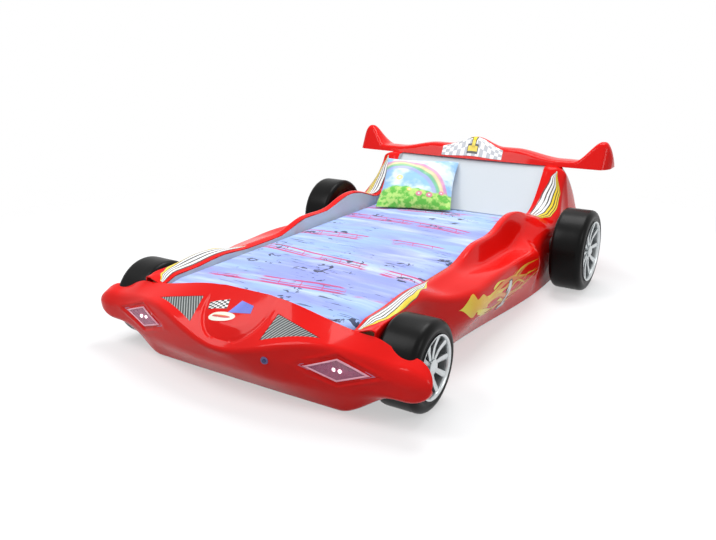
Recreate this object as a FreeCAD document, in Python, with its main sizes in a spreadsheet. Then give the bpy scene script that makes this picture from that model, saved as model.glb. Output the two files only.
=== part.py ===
import FreeCAD, Part
import math
import os
import Sketcher

# Racing-car bed for a child, for a mattress of 1600 x 800 mm.
# Frame: X across the bed (+X is the child's left when lying down, the light switch's side), Y from nose (-)
# to wing (+), Z up. The origin is on the floor under the middle of the overall length and width.
# Lengths along the bed are given from the mattress's front end, in millimetres.

Vector = FreeCAD.Vector
doc = FreeCAD.newDocument("CarBed")
sheet = doc.addObject("Spreadsheet::Sheet", "Sizes")

SIZES = """
OverallLength 2175
NoseReach 185
NoseTipRounding 4.5
FloorGap 6
SlideGap 0.3
ScrewGap 0.3

MattressLength 1600
MattressWidth 800
MattressThickness 110
MattressCrown 8
MattressCorner 60
MattressGap 5
MattressTop 270
SheetThickness 2

BoardThickness 18
BoardBottom 10.6
FrontBoardTop 245
RearBoardTop 262
SlatThickness 12
SlatWidth 62
SlatCount 14
SlatEndGap 2
RailWidth 25
RailHeight 30
WebbingWidth 30
WebbingThickness 1.5
WebbingPlace 200
CornerBlock 30
CornerBlockHeight 90
GlideRadius 8

SkinWall 4
RimLevel 279
FrontSwellPlace 310
FrontSwellRun 170
FrontSwellRise 11
HumpOnePlace 890
HumpOneRun 230
HumpOneRise 43
HumpTwoPlace 1265
HumpTwoRun 380
HumpTwoRise 84
TailStart 1480
TailRun 280
TailRise 218
TailCurve 1.83
TailBackLevel 230
TailBackRun 155
TailEdgeRun 235
TailEndRound 22
WingSeat 497
SideFront -13
FrontDrop 20
CrownWidth 28
CrownRise 8
ShelfWidth 65
ShelfStand 25
ShelfStep 9
ShelfLevel 308
ShelfDrop 27
ValleyLevel 270
ValleyDip 34
ArchEdge 488
ArchEdgeLevel 288
EdgeDrop 7
WaistInset 10
WaistFoot 470
PodBulge 86
ShoulderLevel 245
ShoulderEnd 520
ShoulderSwell 12
ShoulderSag 18
BayRise 40
FlankLevel 165
FlankBulge 14
PodFootSpread 85
PodStart 235
PodFull 600
PodBack 1225
BayFront 1290
BayDepth 30
TailPinch 34
FormerThickness 15

NoseBack -15
NoseTop 316
NoseShoulderDrop 54
NeckDrop 34
ArrowSweep 125
ArrowLevel 170
BrowRise 68
BrowDrop 33
NoseMidReach 172
NoseMidSweep 90
NoseMidLevel 145
NoseMidRise 25
CreaseReach 150
CreaseSweep 75
CreaseLevel 100
NoseFootReach 65
NoseFootHalf 425
EarStart 615
EarEnd 697
EarLevel 160
EarPlace -52
EarBottomRise 90

TongueHalfWidth 138
TongueFrontReach 152
TongueBrowReach 134
TongueBrowLevel 226
TongueTop 319
TongueNoseRadius 70

GrilleTipAcross 334
GrilleTipReach 89
GrilleInnerAcross 160
GrilleInnerReach 75
GrilleFrontAcross 150
GrilleFrontReach 141
GrilleSlot 3.5
GrillePitch 11
GrilleSink 2

LensAcross 407
LensLevel 170
LensHalfWidth 100
LensHalfHeight 36
LensGap 0.4
BowlFlange 8
BowlWall 2.5
BowlBack 72
LampBoardThickness 1.6
LampBoardWidth 70
LampBoardHeight 20
LampRadius 4
LampLength 14
LampSpacing 20

SwitchAcross 180
SwitchFaceShare 0.78
SwitchSeatGap 0.4
SwitchHoleRadius 9
SwitchFlangeRadius 13
SwitchFlangeThickness 2.5
SwitchBodyLength 26
SwitchNutRadius 11.5
SwitchNutThickness 5
ButtonRadius 6.5
ButtonStand 3.5
ButtonTravel 3
ButtonLength 15
ButtonSpare 1
ButtonEdge 1.2

BatteryBoxLength 55
BatteryBoxHeight 54
BatteryBoxDepth 21.5
BatteryBoxWall 2
BatteryLidThickness 2
BatteryLevel 40
CellRadius 7.2
CellLength 50
CellPitch 15.12

HeadboardFoot 1585
HeadboardLean 44
HeadboardThickness 18
HeadboardTop 494
BattenSize 25
CleatStart 30
CleatEnd 200

WingHalfSpan 700
WingFrontReach 1787
WingSweep 20
WingDip 517
WingShoulderRise 43
WingShoulderStart 220
WingShoulderEnd 450
WingHumpRise 45
WingHumpRun 150
WingLobePlace 652
WingLobeRun 145
WingLobeRise 112
WingEndRound 16
WingBaseHalfLength 440
WingBaseThickness 9
WingBaseFront 1807
WingBaseDepth 85

FrontTyreRadius 150
FrontTyreWidth 143
FrontRimRadius 100
FrontWheelInset 491
FrontWheelPlace 102
RearTyreRadius 184
RearTyreWidth 132
RearRimRadius 131
RearWheelInset 605
RearWheelPlace 1488
TyreShoulder 16
TyreClearance 6
RimWall 3.5
RimLip 9
RimRing 3
RimSetback 12
SpokeCount 10
SpokeDish 12
SpokeThickness 7
SpokeRootWidth 11
SpokeTipWidth 19
HubRadius 21
HubCapRadius 26
HubCapStand 14
HubCapFaceRadius 14
HubCapEdgeShare 0.5
HubCapWall 3
MountDiscThickness 12
MountSetback 14
MountBossRadius 38
WheelBoltRadius 5
BoltHeadFlats 16
BoltHeadHeight 5

PillowWidth 380
PillowHeight 370
PillowThickness 105
PillowWaist 14
PillowAcross -185
PillowPlace 1558.9
PillowLevel 383
PillowTurn 18
PillowLean 32

ScrewRadius 2.5
ScrewHeadRadius 4.5
ScrewHeadHeight 3
ScrewLength 38
BoardScrewLength 53
"""

for row, entry in enumerate((line for line in SIZES.splitlines() if line), start=1):
    alias, value = entry.split()
    sheet.set(f"A{row}", alias)
    sheet.set(f"B{row}", value)
    sheet.setAlias(f"B{row}", alias)
doc.recompute()


def size(alias):
    """One driving dimension from the sheet."""
    return float(sheet.get(alias))


def smooth(value, start, end):
    """Rises from 0 at start to 1 at end, level at both."""
    share = min(1.0, max(0.0, (value - start) / (end - start)))
    return share * share * (3 - 2 * share)


def bump(value, place, run):
    """A smooth hump, 1 at its place and 0 from one run away."""
    share = min(1.0, abs(value - place) / run)
    return math.cos(share * math.pi / 2) ** 2


def spaced(start, end, steps):
    """Evenly spaced stations from start up to, but without, end."""
    return [start + (end - start) * step / steps for step in range(steps)]


# Where things are, from the mattress's front end and from the floor.
Y_FRONT = "(Sizes.NoseReach - Sizes.OverallLength / 2)"
y_front = size("NoseReach") - size("OverallLength") / 2
tail_back = size("OverallLength") - size("NoseReach")
wall = size("SkinWall")
board = size("BoardThickness")
board_bottom = size("BoardBottom")
inner_face = size("MattressWidth") / 2 + size("MattressGap")
outer_face = inner_face + board
mattress_front = -size("MattressGap") * 4
well_front = mattress_front - size("MattressGap")
well_back = mattress_front + size("MattressLength") + size("MattressGap")
slat_top = size("MattressTop") - size("MattressThickness")
rail_top = slat_top - size("SlatThickness")
board_back = tail_back - size("TailBackRun") - 16
RIGHT, LEFT = Vector(1, 0, 0), Vector(-1, 0, 0)
BACKWARD, FORWARD, DOWN = Vector(0, 1, 0), Vector(0, -1, 0), Vector(0, 0, -1)
parts = []


def keep(item, label, along=True):
    """Names a finished sub-part, and moves it to the frame if it was drawn from the mattress's end."""
    item.Label = label
    if along:
        item.setExpression("Placement.Base.y", Y_FRONT)
    parts.append(item)
    return item


def shaped(name, shape):
    """A document object for a shape made of curved sections."""
    item = doc.addObject("Part::Feature", name)
    item.Shape = shape
    return item


def mirrored(source, label):
    """The same piece on the other side of the bed's centre plane."""
    item = doc.addObject("Part::Mirroring", label)
    item.Source = source
    item.Normal = Vector(1, 0, 0)
    item.Base = Vector(0, 0, 0)
    return keep(item, label, along=False)


def box(name, sizes, corner):
    """A Part box; sizes and corner are expressions."""
    item = doc.addObject("Part::Box", name)
    for side, text in zip(("Length", "Width", "Height"), sizes):
        item.setExpression(side, text)
    for axis, text in zip("xyz", corner):
        item.setExpression(f"Placement.Base.{axis}", text)
    return item


def cut(name, base, tool):
    """The base with the tool taken away."""
    item = doc.addObject("Part::Cut", name)
    item.Base = base
    item.Tool = tool
    return item


def group(name, items):
    """Identical pieces kept together as separate solids."""
    item = doc.addObject("Part::Compound", name)
    item.Links = items
    return item


# ------------------------------------------------------ sections of the moulded skins

def outline(corners, blends, facets=2):
    """The corners with each turned by a few flats over its blend length (0 keeps it sharp)."""
    points = []
    for index, corner in enumerate(corners):
        before = corners[index - 1] - corner
        after = corners[(index + 1) % len(corners)] - corner
        blend = min(blends[index], 0.45 * before.Length, 0.45 * after.Length)
        if not blend:
            points.append(corner)
            continue
        start = corner + before.normalize() * blend
        end = corner + after.normalize() * blend
        for step in range(facets + 1):
            share = step / facets
            points.append(start * (1 - share) ** 2 + corner * 2 * share * (1 - share) + end * share ** 2)
    return points


def closed_face(points):
    """A flat face inside a closed line of points."""
    return Part.Face(Part.makePolygon(points + points[:1]))


def loft(sections):
    """A solid through equal sections, with flat facets between neighbours so that it stays light."""
    faces = [closed_face(sections[0]), closed_face(sections[-1])]
    for first, second in zip(sections, sections[1:]):
        for index in range(len(first)):
            after = (index + 1) % len(first)
            faces.append(closed_face([first[index], first[after], second[after]]))
            faces.append(closed_face([first[index], second[after], second[index]]))
    skin = Part.Compound(faces)
    skin.sewShape()
    solid = Part.Solid(skin.Shells[0])
    return solid if solid.Volume > 0 else solid.reversed()


def rod(radius, length, point, way, sides=6):
    """A rod with its flats at the radius, which keeps small fastenings and their holes light."""
    up = Vector(0, 0, 1) if not way.z else Vector(1, 0, 0)
    reach = radius / math.cos(math.pi / sides)
    corners = []
    for step in range(sides):
        angle = 2 * math.pi * (step + 0.5) / sides
        corners.append(point + up * reach * math.cos(angle) + way.cross(up) * reach * math.sin(angle))
    return closed_face(corners).extrude(way * length)


def inset(corners, depths):
    """Corners of a closed outline with each side moved inwards by its depth (outwards where negative)."""
    count = len(corners)
    area = sum(corners[i - 1][0] * corners[i][1] - corners[i][0] * corners[i - 1][1] for i in range(count))
    turn = 1 if area > 0 else -1
    sides = []
    for index, (across, up) in enumerate(corners):
        next_across, next_up = corners[(index + 1) % count]
        length = math.hypot(next_across - across, next_up - up)
        along = ((next_across - across) / length, (next_up - up) / length)
        inward = (-along[1] * turn, along[0] * turn)
        point = (across + inward[0] * depths[index], up + inward[1] * depths[index])
        sides.append((point, along))
    moved = []
    for index in range(count):
        (first, first_along), (second, second_along) = sides[index - 1], sides[index]
        cross = first_along[0] * second_along[1] - first_along[1] * second_along[0]
        if abs(cross) < 0.02:
            moved.append(second)
            continue
        gap = (second[0] - first[0], second[1] - first[1])
        reach = (gap[0] * second_along[1] - gap[1] * second_along[0]) / cross
        moved.append((first[0] + first_along[0] * reach, first[1] + first_along[1] * reach))
    return moved


# ------------------------------------------------------ side skins: rim, humps, pod, bay and tail

def tail_edge_level(y, run):
    """Height of the tail's swept back edge."""
    share = max(0.0, (tail_back - y) / run)
    return size("TailBackLevel") + (size("WingSeat") - size("TailBackLevel")) * math.sqrt(share)


def rim_level(y):
    """Height of the skin's inner edge, along the top of the side board."""
    level = size("RimLevel") - size("FrontDrop") * (1 - smooth(y, size("SideFront"), 70))
    level += size("FrontSwellRise") * bump(y, size("FrontSwellPlace"), size("FrontSwellRun"))
    level += size("HumpOneRise") * bump(y, size("HumpOnePlace"), size("HumpOneRun"))
    level += size("HumpTwoRise") * bump(y, size("HumpTwoPlace"), size("HumpTwoRun"))
    climb = max(0.0, (y - size("TailStart")) / size("TailRun"))
    level += size("TailRise") * climb ** size("TailCurve")
    return min(level, size("WingSeat"), tail_edge_level(y, size("TailBackRun")))


def shelf_level(y):
    """Height of the skin 65 mm out from the rim: a flat shelf over the wheels, a valley along the pod."""
    level = size("ShelfLevel") - size("ShelfDrop") * (1 - smooth(y, 40, 240))
    level -= (size("ShelfLevel") - size("ValleyLevel")) * smooth(y, 300, 450)
    level -= size("ValleyDip") * smooth(y, 600, 930)
    level += (size("HumpTwoRise") - size("ShelfStep")) * smooth(y, 1120, 1420)
    tail = smooth(y, size("TailStart") - 60, size("TailStart") + 40)
    return min(level * (1 - tail) + rim_level(y) * tail, rim_level(y) + size("ShelfStand"))


def shoulder(y):
    """The skin's outer top edge."""
    across = size("ArchEdge") + size("PodBulge") * smooth(y, size("PodStart"), size("PodFull"))
    across -= size("BayDepth") * smooth(y, size("PodBack"), size("BayFront"))
    step = size("ArchEdgeLevel") - size("ShoulderLevel")
    level = size("ArchEdgeLevel") - step * smooth(y, size("PodStart"), size("ShoulderEnd"))
    level += size("ShoulderSwell") * bump(y, 830, 250) - size("ShoulderSag") * smooth(y, 1000, 1260)
    level += size("BayRise") * smooth(y, size("BayFront"), size("TailStart"))
    climb = max(0.0, (y - size("TailStart") - 20) / size("TailRun"))
    level += size("TailRise") * climb ** (size("TailCurve") + 0.4)
    pinch = size("TailPinch") * smooth(y, size("TailStart") + 120, size("TailStart") + size("TailRun"))
    end = size("TailEndRound") * smooth(y, tail_back - 2 * size("TailEndRound"), tail_back)
    top = min(size("WingSeat"), tail_edge_level(y, size("TailEdgeRun"))) - size("EdgeDrop")
    return across - end, pinch, min(level, top, rim_level(y) + size("ShelfStand") - size("EdgeDrop"))


def side_corners(y):
    """The side skin's outer profile at one station: out from the rim, down to the foot, closed inside."""
    rim = rim_level(y)
    across, pinch, edge_level = shoulder(y)
    swell = size("WaistInset") + size("FlankBulge")
    flank = across - size("WaistInset") + swell * smooth(y, size("PodStart"), size("PodFull"))
    end = size("TailEndRound") * smooth(y, tail_back - 2 * size("TailEndRound"), tail_back)
    foot = size("WaistFoot") + size("PodFootSpread") * smooth(y, 480, 1400) - end
    crown = min(rim + size("CrownRise"), size("WingSeat"))
    shelf = min(shelf_level(y), size("WingSeat"))
    return [
        (inner_face, rim),
        (inner_face + size("CrownWidth"), crown),
        (inner_face + size("ShelfWidth"), shelf),
        (across - pinch, edge_level),
        (flank, size("FlankLevel")),
        (foot, size("FloorGap")),
        (inner_face, size("FloorGap")),
    ]


def skin_drop(y):
    """Vertical thickness of the skin's top, which grows where the top climbs."""
    slope = (rim_level(y + 1) - rim_level(y - 1)) / 2
    return wall * math.hypot(1, min(slope, 2.5))


def side_cavity_corners(y):
    """The hollow inside: level over the side board's top, then one wall below the skin."""
    drop = skin_drop(y)
    corners = side_corners(y)
    inner = inset(corners[:1] + corners[2:], [drop, drop, wall, wall, -10, -0.5])
    seat = rim_level(y) - drop
    return [(inner_face - 10, seat), (outer_face + 2, seat)] + inner[1:]


side_blends = [0, 12, 16, 14, 30, 0, 0]
plateau = size("TailStart") + size("TailRun")
side_stations = (
    spaced(size("SideFront"), 250, 4)
    + spaced(250, 600, 5)
    + spaced(600, size("PodBack"), 7)
    + spaced(size("PodBack"), size("BayFront"), 2)
    + spaced(size("BayFront"), size("TailStart"), 3)
    + spaced(size("TailStart"), plateau, 6)
    + [tail_back - (tail_back - plateau) * (1 - step / 6) ** 2 for step in range(6)]
)


def across_plane(corners, y):
    """Corners given as (across, up), at one place along the bed."""
    return [Vector(across, y, up) for across, up in corners]


side_profiles = [across_plane(side_corners(y), y) for y in side_stations + [tail_back]]
side_outer = loft([outline(profile, side_blends) for profile in side_profiles])
cavity_stations = [size("SideFront") - 5] + side_stations[1:-1] + [tail_back - wall]
side_cavity = loft([across_plane(side_cavity_corners(y), y) for y in cavity_stations])

# ------------------------------------------------------ nose skin: arrow-shaped bumper with two ears

def nose_corners(x):
    """The nose's outer profile at one distance from the centre plane, from the back forward and down."""
    side = abs(x)
    reach = size("ArrowSweep") * smooth(side, 0, 640) - size("NoseReach") - size("NoseTipRounding")
    brow = size("ArrowLevel") + size("BrowRise") * smooth(side, 0, 330)
    brow -= size("BrowDrop") * smooth(side, 350, 620)
    top = size("NoseTop") - size("NoseShoulderDrop") * smooth(side, 100, 480)
    top -= size("NeckDrop") * smooth(side, 480, 600)
    middle = size("NoseMidSweep") * smooth(side, 60, 640) - size("NoseMidReach")
    middle_level = size("NoseMidLevel") + size("NoseMidRise") * smooth(side, 0, 400)
    crease = size("CreaseSweep") * smooth(side, 100, 650) - size("CreaseReach")
    lift = smooth(side, size("NoseFootHalf"), 650)
    foot = size("NoseFootReach") * (0.4 * lift - 1)
    bottom = size("FloorGap") + size("EarBottomRise") * lift
    corners = [
        (size("NoseBack"), top),
        (reach, brow),
        (middle, middle_level),
        (crease, size("CreaseLevel") + 6 * lift),
        (foot, bottom),
        (size("NoseBack"), bottom),
    ]
    share = max(0.0, (side - size("EarStart")) / (size("EarEnd") - size("EarStart")))
    shrink = math.sqrt(1 - min(share, 0.98) ** 2)
    middle_y, middle_z = size("EarPlace"), size("EarLevel")
    return [(middle_y + (y - middle_y) * shrink, middle_z + (z - middle_z) * shrink) for y, z in corners]


nose_blends = [0, 14, 22, 12, 8, 0]
ear = size("EarEnd") - size("EarStart")
half_stations = (
    spaced(0, 120, 2) + spaced(120, 420, 5) + spaced(420, size("EarStart"), 4)
    + [size("EarStart") + ear * math.sin(math.radians(angle)) for angle in (0, 25, 45, 62, 78)]
)
nose_stations = [-x for x in reversed(half_stations[1:])] + half_stations


def along_plane(corners, x):
    """Corners given as (along, up), at one distance from the centre plane."""
    return [Vector(x, along, up) for along, up in corners]


def tongue(shrink):
    """The raised centre of the nose: a round-fronted tongue that slopes down to the arrow's shelf."""
    half = size("TongueHalfWidth") - shrink
    front = size("TongueFrontReach") - shrink
    back = size("NoseBack") + (size("EarPlace") + 62 if shrink else 0)
    side_view = [
        (back, 150), (back, size("TongueTop") - shrink * 1.3),
        (-size("TongueBrowReach"), size("TongueBrowLevel") - shrink * 1.3),
        (-front, size("TongueBrowLevel") - 40), (-front, 150),
    ]
    profile = closed_face(along_plane(side_view, -half)).extrude(Vector(2 * half, 0, 0))
    radius = size("TongueNoseRadius")
    plan = Part.makeBox(2 * half, back + front - radius, 300, Vector(-half, radius - front, 100))
    plan = plan.fuse(Part.makeBox(2 * (half - radius), radius, 300, Vector(radius - half, -front, 100)))
    for side in (-1, 1):
        plan = plan.fuse(Part.makeCylinder(radius, 300, Vector(side * (half - radius), radius - front, 100)))
    return plan.common(profile)


nose_outer = loft([outline(along_plane(nose_corners(x), x), nose_blends) for x in nose_stations])
nose_depths = [wall] * 5 + [-12]
nose_hollow = [x for x in nose_stations if abs(x) <= size("EarStart")]
nose_cavity = loft([along_plane(inset(nose_corners(x), nose_depths), x) for x in nose_hollow])

# ------------------------------------------------------ wing skin

def wing_corners(x):
    """The wing's profile at one distance from the centre plane: leaning front, crest and falling back."""
    side = abs(x)
    top = size("WingDip")
    top += size("WingShoulderRise") * (1 - smooth(side, size("WingShoulderStart"), size("WingShoulderEnd")))
    top += size("WingHumpRise") * bump(side, 0, size("WingHumpRun"))
    top += size("WingLobeRise") * bump(side, size("WingLobePlace"), size("WingLobeRun"))
    rise = top - size("WingSeat")
    front = size("WingFrontReach") + size("WingSweep") * (side / size("WingHalfSpan")) ** 2
    chord = tail_back - front
    round_share = max(0.0, side - size("WingHalfSpan") + size("WingEndRound")) / size("WingEndRound")
    shrink = 0.25 * round_share ** 2
    middle = front + chord / 2
    corners = [
        (front, size("WingSeat")),
        (front + 0.45 * rise, size("WingSeat") + 0.94 * rise),
        (front + 0.48 * chord, top),
        (front + 0.8 * chord, size("WingSeat") + 0.55 * rise),
        (front + chord, size("WingSeat") + 3),
    ]
    return [(y + (middle - y) * shrink, z - (z - size("WingSeat")) * shrink) for y, z in corners] + [
        (front + chord + (middle - front - chord) * shrink, size("WingSeat"))]


wing_half = (
    spaced(0, 150, 4) + spaced(150, 450, 3) + spaced(450, 600, 3)
    + spaced(600, size("WingHalfSpan") - size("WingEndRound"), 3)
)
wing_end = [size("WingHalfSpan") - size("WingEndRound") * (1 - step / 3) for step in range(4)]
wing_stations = [-x for x in reversed(wing_half[1:] + wing_end)] + wing_half + wing_end
wing_outer = loft([outline(along_plane(wing_corners(x), x), [0, 8, 14, 12, 0, 0]) for x in wing_stations])
wing_depths = [wall] * 5 + [-10]
wing_hollow = [x for x in wing_stations if abs(x) <= wing_end[0]]
wing_cavity = loft([along_plane(inset(wing_corners(x), wing_depths), x) for x in wing_hollow])

# ------------------------------------------------------ wheels' places, used by the skins' holes

WHEELS = {
    "front": ("FrontTyreRadius", "FrontTyreWidth", "FrontRimRadius", "FrontWheelInset", "FrontWheelPlace"),
    "rear": ("RearTyreRadius", "RearTyreWidth", "RearRimRadius", "RearWheelInset", "RearWheelPlace"),
}


def wheel_rod(wheel, radius, start, end):
    """A cylinder on a wheel's axis, from start to end across the bed."""
    tyre, _, _, _, place = WHEELS[wheel]
    return Part.makeCylinder(radius, end - start, Vector(start, size(place), size(tyre)), Vector(1, 0, 0))


# ------------------------------------------------------ screws: one shape, used for pieces and holes

def screw(point, direction, length):
    """A pan-head screw, its head standing on the point and its shank going in along the direction."""
    head = rod(size("ScrewHeadRadius"), size("ScrewHeadHeight"), point, direction * -1)
    return head.fuse(rod(size("ScrewRadius"), length, point, direction))


def shank_holes(name, rods):
    """Clearance holes as one cutting tool; rods are (point, direction, length)."""
    gap = size("ScrewRadius") + size("ScrewGap")
    tool = doc.addObject("Part::Feature", name)
    tool.Shape = Part.makeCompound([rod(gap, length + 2, point - way, way) for point, way, length in rods])
    tool.setExpression("Placement.Base.y", Y_FRONT)
    return tool


FORMER_PLACES = (15, 420, 800, 1180, 1340, 1680)
board_screw_levels = (60, 215)
former_screw_levels = (60, 103)
former_screws = [
    (Vector(inner_face, place + size("FormerThickness") / 2, level), RIGHT, size("ScrewLength"))
    for place in FORMER_PLACES for level in former_screw_levels
]
rail_middle = rail_top - size("RailHeight") / 2
rail_screws = [
    (Vector(inner_face - size("RailWidth"), place, rail_middle), RIGHT, size("ScrewLength"))
    for place in (180, 600, 1020, 1440)
]
front_screws = [
    (Vector(inner_face + board / 2, well_front - board, level), BACKWARD, size("BoardScrewLength"))
    for level in board_screw_levels
]
rear_screws = [
    (Vector(outer_face, well_back + board / 2, level), LEFT, size("BoardScrewLength"))
    for level in board_screw_levels
]
side_rods = former_screws + rail_screws + front_screws + rear_screws
wing_rods = [(Vector(inner_face + board / 2, board_back - 7, size("WingSeat") + size("WingBaseThickness")),
              DOWN, size("ScrewLength"))]


def to_left(rods):
    """The same rods on the other side of the centre plane."""
    return [(Vector(-point.x, point.y, point.z), Vector(-way.x, way.y, way.z), length)
            for point, way, length in rods]


# ------------------------------------------------------ side skins

side_skin = side_outer.cut(side_cavity)
for point, way, length in wing_rods:
    side_skin = side_skin.cut(rod(size("ScrewRadius") + size("ScrewGap"), length, point, way))
boss_hole = size("MountBossRadius") + size("ScrewGap")
for wheel in WHEELS:
    side_skin = side_skin.cut(wheel_rod(wheel, boss_hole, outer_face + 1, size("RearWheelInset")))
side_shell_right = keep(shaped("side_shell_right", side_skin), "side_shell_right")
mirrored(side_shell_right, "side_shell_left")

former_plates = []
for place in FORMER_PLACES:
    plate = Part.makeBox(400, size("FormerThickness"), 600, Vector(outer_face, place, board_bottom))
    plate = side_cavity.common(plate)
    for point, way, length in former_screws:
        plate = plate.cut(rod(size("ScrewRadius") + size("ScrewGap"), length + 1, point, way))
    former_plates.append(plate)
side_formers = Part.makeCompound(former_plates)
side_formers_right = keep(shaped("side_formers_right", side_formers), "side_formers_right")
mirrored(side_formers_right, "side_formers_left")

# ------------------------------------------------------ nose skin with its grilles, lamps and switch

def prism(corners, start, length, axis):
    """An upright or level prism from corners given in the other two directions."""
    points = [Vector(a, b, start) if axis == "z" else Vector(a, start, b) for a, b in corners]
    push = Vector(0, 0, length) if axis == "z" else Vector(0, length, 0)
    return closed_face(points).extrude(push)


def grille_plan(gap):
    corners = [
        (size("GrilleTipAcross"), -size("GrilleTipReach")),
        (size("GrilleInnerAcross"), -size("GrilleInnerReach")),
        (size("GrilleFrontAcross"), -size("GrilleFrontReach")),
    ]
    return inset(corners, [gap] * 3)


def lens_front(gap):
    across, level = size("LensAcross"), size("LensLevel")
    half, high = size("LensHalfWidth"), size("LensHalfHeight")
    corners = [
        (across - half, level), (across, level + high), (across + half, level), (across, level - high),
    ]
    return inset(corners, [gap] * 4)


nose_wall = nose_outer.fuse(tongue(0)).cut(nose_cavity.fuse(tongue(wall)))
grille_hole = prism(grille_plan(0), 150, 250, "z")
lens_hole = prism(lens_front(0), -200, 150, "y")
lens_gap = size("LensGap")

grille = nose_wall.common(prism(grille_plan(lens_gap), 150, 250, "z"))
slot_count = int(260 / size("GrillePitch"))
for slot in range(slot_count):
    across = 60 + slot * size("GrillePitch")
    bar = Part.makeBox(size("GrilleSlot"), 240, 300, Vector(0, 0, 0))
    bar.rotate(Vector(0, 0, 0), Vector(0, 0, 1), -40)
    bar.translate(Vector(across, -170, 120))
    inner = prism(grille_plan(6), 150, 250, "z")
    grille = grille.cut(bar.common(inner))
grille.translate(Vector(0, 0, -size("GrilleSink")))
grille_right = keep(shaped("grille_right", grille), "grille_right")
mirrored(grille_right, "grille_left")

lens = nose_wall.common(prism(lens_front(lens_gap), -200, 150, "y"))
lens_right = keep(shaped("headlight_lens_right", lens), "headlight_lens_right")
mirrored(lens_right, "headlight_lens_left")

bowl_back = -size("BowlBack")
bowl = prism(lens_front(-size("BowlFlange")), -200, 200 + bowl_back, "y").common(nose_cavity)
bowl = bowl.common(nose_cavity.mirror(Vector(0, 0, 0), Vector(1, 0, 0)))
bowl_room = lens_front(size("BowlWall") - size("BowlFlange"))
bowl = bowl.cut(prism(bowl_room, -200, 200 + bowl_back - size("BowlWall"), "y"))
bowl_right = keep(shaped("headlight_bowl_right", bowl), "headlight_bowl_right")
mirrored(bowl_right, "headlight_bowl_left")

lamp_boards = []
lamps = []
for side in (-1, 1):
    middle = side * size("LensAcross")
    back = bowl_back - size("BowlWall") - size("LampBoardThickness")
    low = size("LensLevel") - size("LampBoardHeight") / 2
    corner = Vector(middle - size("LampBoardWidth") / 2, back, low)
    lamp_boards.append(
        Part.makeBox(size("LampBoardWidth"), size("LampBoardThickness"), size("LampBoardHeight"), corner))
    for lamp in (-0.5, 0.5):
        foot = Vector(middle + lamp * size("LampSpacing"), back, size("LensLevel"))
        lamps.append(rod(size("LampRadius"), size("LampLength"), foot, FORWARD, sides=8))
keep(shaped("lamp_boards", Part.makeCompound(lamp_boards)), "lamp_boards")
keep(shaped("lamps", Part.makeCompound(lamps)), "lamps")


def front_face_point(x, share):
    """A point on the nose's front face, between the arrow's edge and the middle, and the face's normal."""
    def at(across, part):
        (_, _), (edge_y, edge_z), (mid_y, mid_z) = nose_corners(across)[:3]
        return Vector(across, edge_y + (mid_y - edge_y) * part, edge_z + (mid_z - edge_z) * part)

    point = at(x, share)
    normal = (at(x + 1, share) - at(x - 1, share)).cross(at(x, share + 0.01) - at(x, share - 0.01))
    return point, normal.normalize() * (1 if normal.y < 0 else -1)


switch_seat, switch_axis = front_face_point(size("SwitchAcross"), size("SwitchFaceShare"))
switch_seat += switch_axis * size("SwitchSeatGap")
switch_turn = FreeCAD.Rotation(Vector(1, 0, 0), switch_axis)
switch_hole = Part.makeCylinder(
    size("SwitchHoleRadius") + size("SlideGap"), 60, switch_seat - switch_axis * 40, switch_axis)

tyre_face = size("FrontWheelInset") + size("FrontTyreWidth")
clear = size("TyreClearance")
wheel_clearance = wheel_rod("front", size("FrontTyreRadius") + clear, outer_face + 50, tyre_face + 2 * clear)
nose_skin = nose_wall.cut(grille_hole).cut(lens_hole).cut(switch_hole).cut(wheel_clearance)
nose_skin = nose_skin.cut(grille_hole.mirror(Vector(0, 0, 0), Vector(1, 0, 0)))
nose_skin = nose_skin.cut(lens_hole.mirror(Vector(0, 0, 0), Vector(1, 0, 0)))
nose_skin = nose_skin.cut(wheel_clearance.mirror(Vector(0, 0, 0), Vector(1, 0, 0)))
keep(shaped("nose_shell", nose_skin), "nose_shell")

nose_formers = []
for side in (-1, 1):
    middle = side * 120
    corner = Vector(middle - size("FormerThickness") / 2, well_front - board - 300, board_bottom)
    plate = Part.makeBox(size("FormerThickness"), 300, 400, corner)
    nose_formers.append(nose_cavity.common(plate))
keep(shaped("nose_formers", Part.makeCompound(nose_formers)), "nose_formers")


# ------------------------------------------------------ turned and padded pieces

def origin_plane(body, role):
    return next(item for item in body.Origin.OriginFeatures if item.Role == role)


def sketch_outline(body, name, plane, corners):
    """A closed sketch whose corners are held by expressions: pairs of (across, up)."""
    sketch = body.newObject("Sketcher::SketchObject", name)
    sketch.AttachmentSupport = [(origin_plane(body, plane), "")]
    sketch.MapMode = "FlatFace"
    count = len(corners)
    for index in range(count):
        angle = 2 * math.pi * index / count
        after = 2 * math.pi * (index + 1) / count
        sketch.addGeometry(Part.LineSegment(
            Vector(math.cos(angle), math.sin(angle), 0), Vector(math.cos(after), math.sin(after), 0)), False)
    for index in range(count):
        sketch.addConstraint(Sketcher.Constraint("Coincident", index, 2, (index + 1) % count, 1))
    for index, corner in enumerate(corners):
        for kind, text in zip(("DistanceX", "DistanceY"), corner):
            number = sketch.addConstraint(Sketcher.Constraint(kind, -1, 1, index, 1, 1.0))
            sketch.setExpression(f"Constraints[{number}]", text)
    return sketch


def turned(name, corners):
    """A body turned about its own X axis from an outline of (along the axis, radius) corners."""
    body = doc.addObject("PartDesign::Body", name)
    sketch = sketch_outline(body, name + "_outline", "XY_Plane", corners)
    turn = body.newObject("PartDesign::Revolution", name + "_turn")
    turn.Profile = sketch
    turn.ReferenceAxis = (sketch, ["H_Axis"])
    turn.Angle = 360
    return body, turn


def padded(name, plane, corners, length):
    """A body padded from an outline on one of its origin planes."""
    body = doc.addObject("PartDesign::Body", name)
    sketch = sketch_outline(body, name + "_outline", plane, corners)
    pad = body.newObject("PartDesign::Pad", name + "_pad")
    pad.Profile = sketch
    pad.setExpression("Length", length)
    return body, pad


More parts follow.
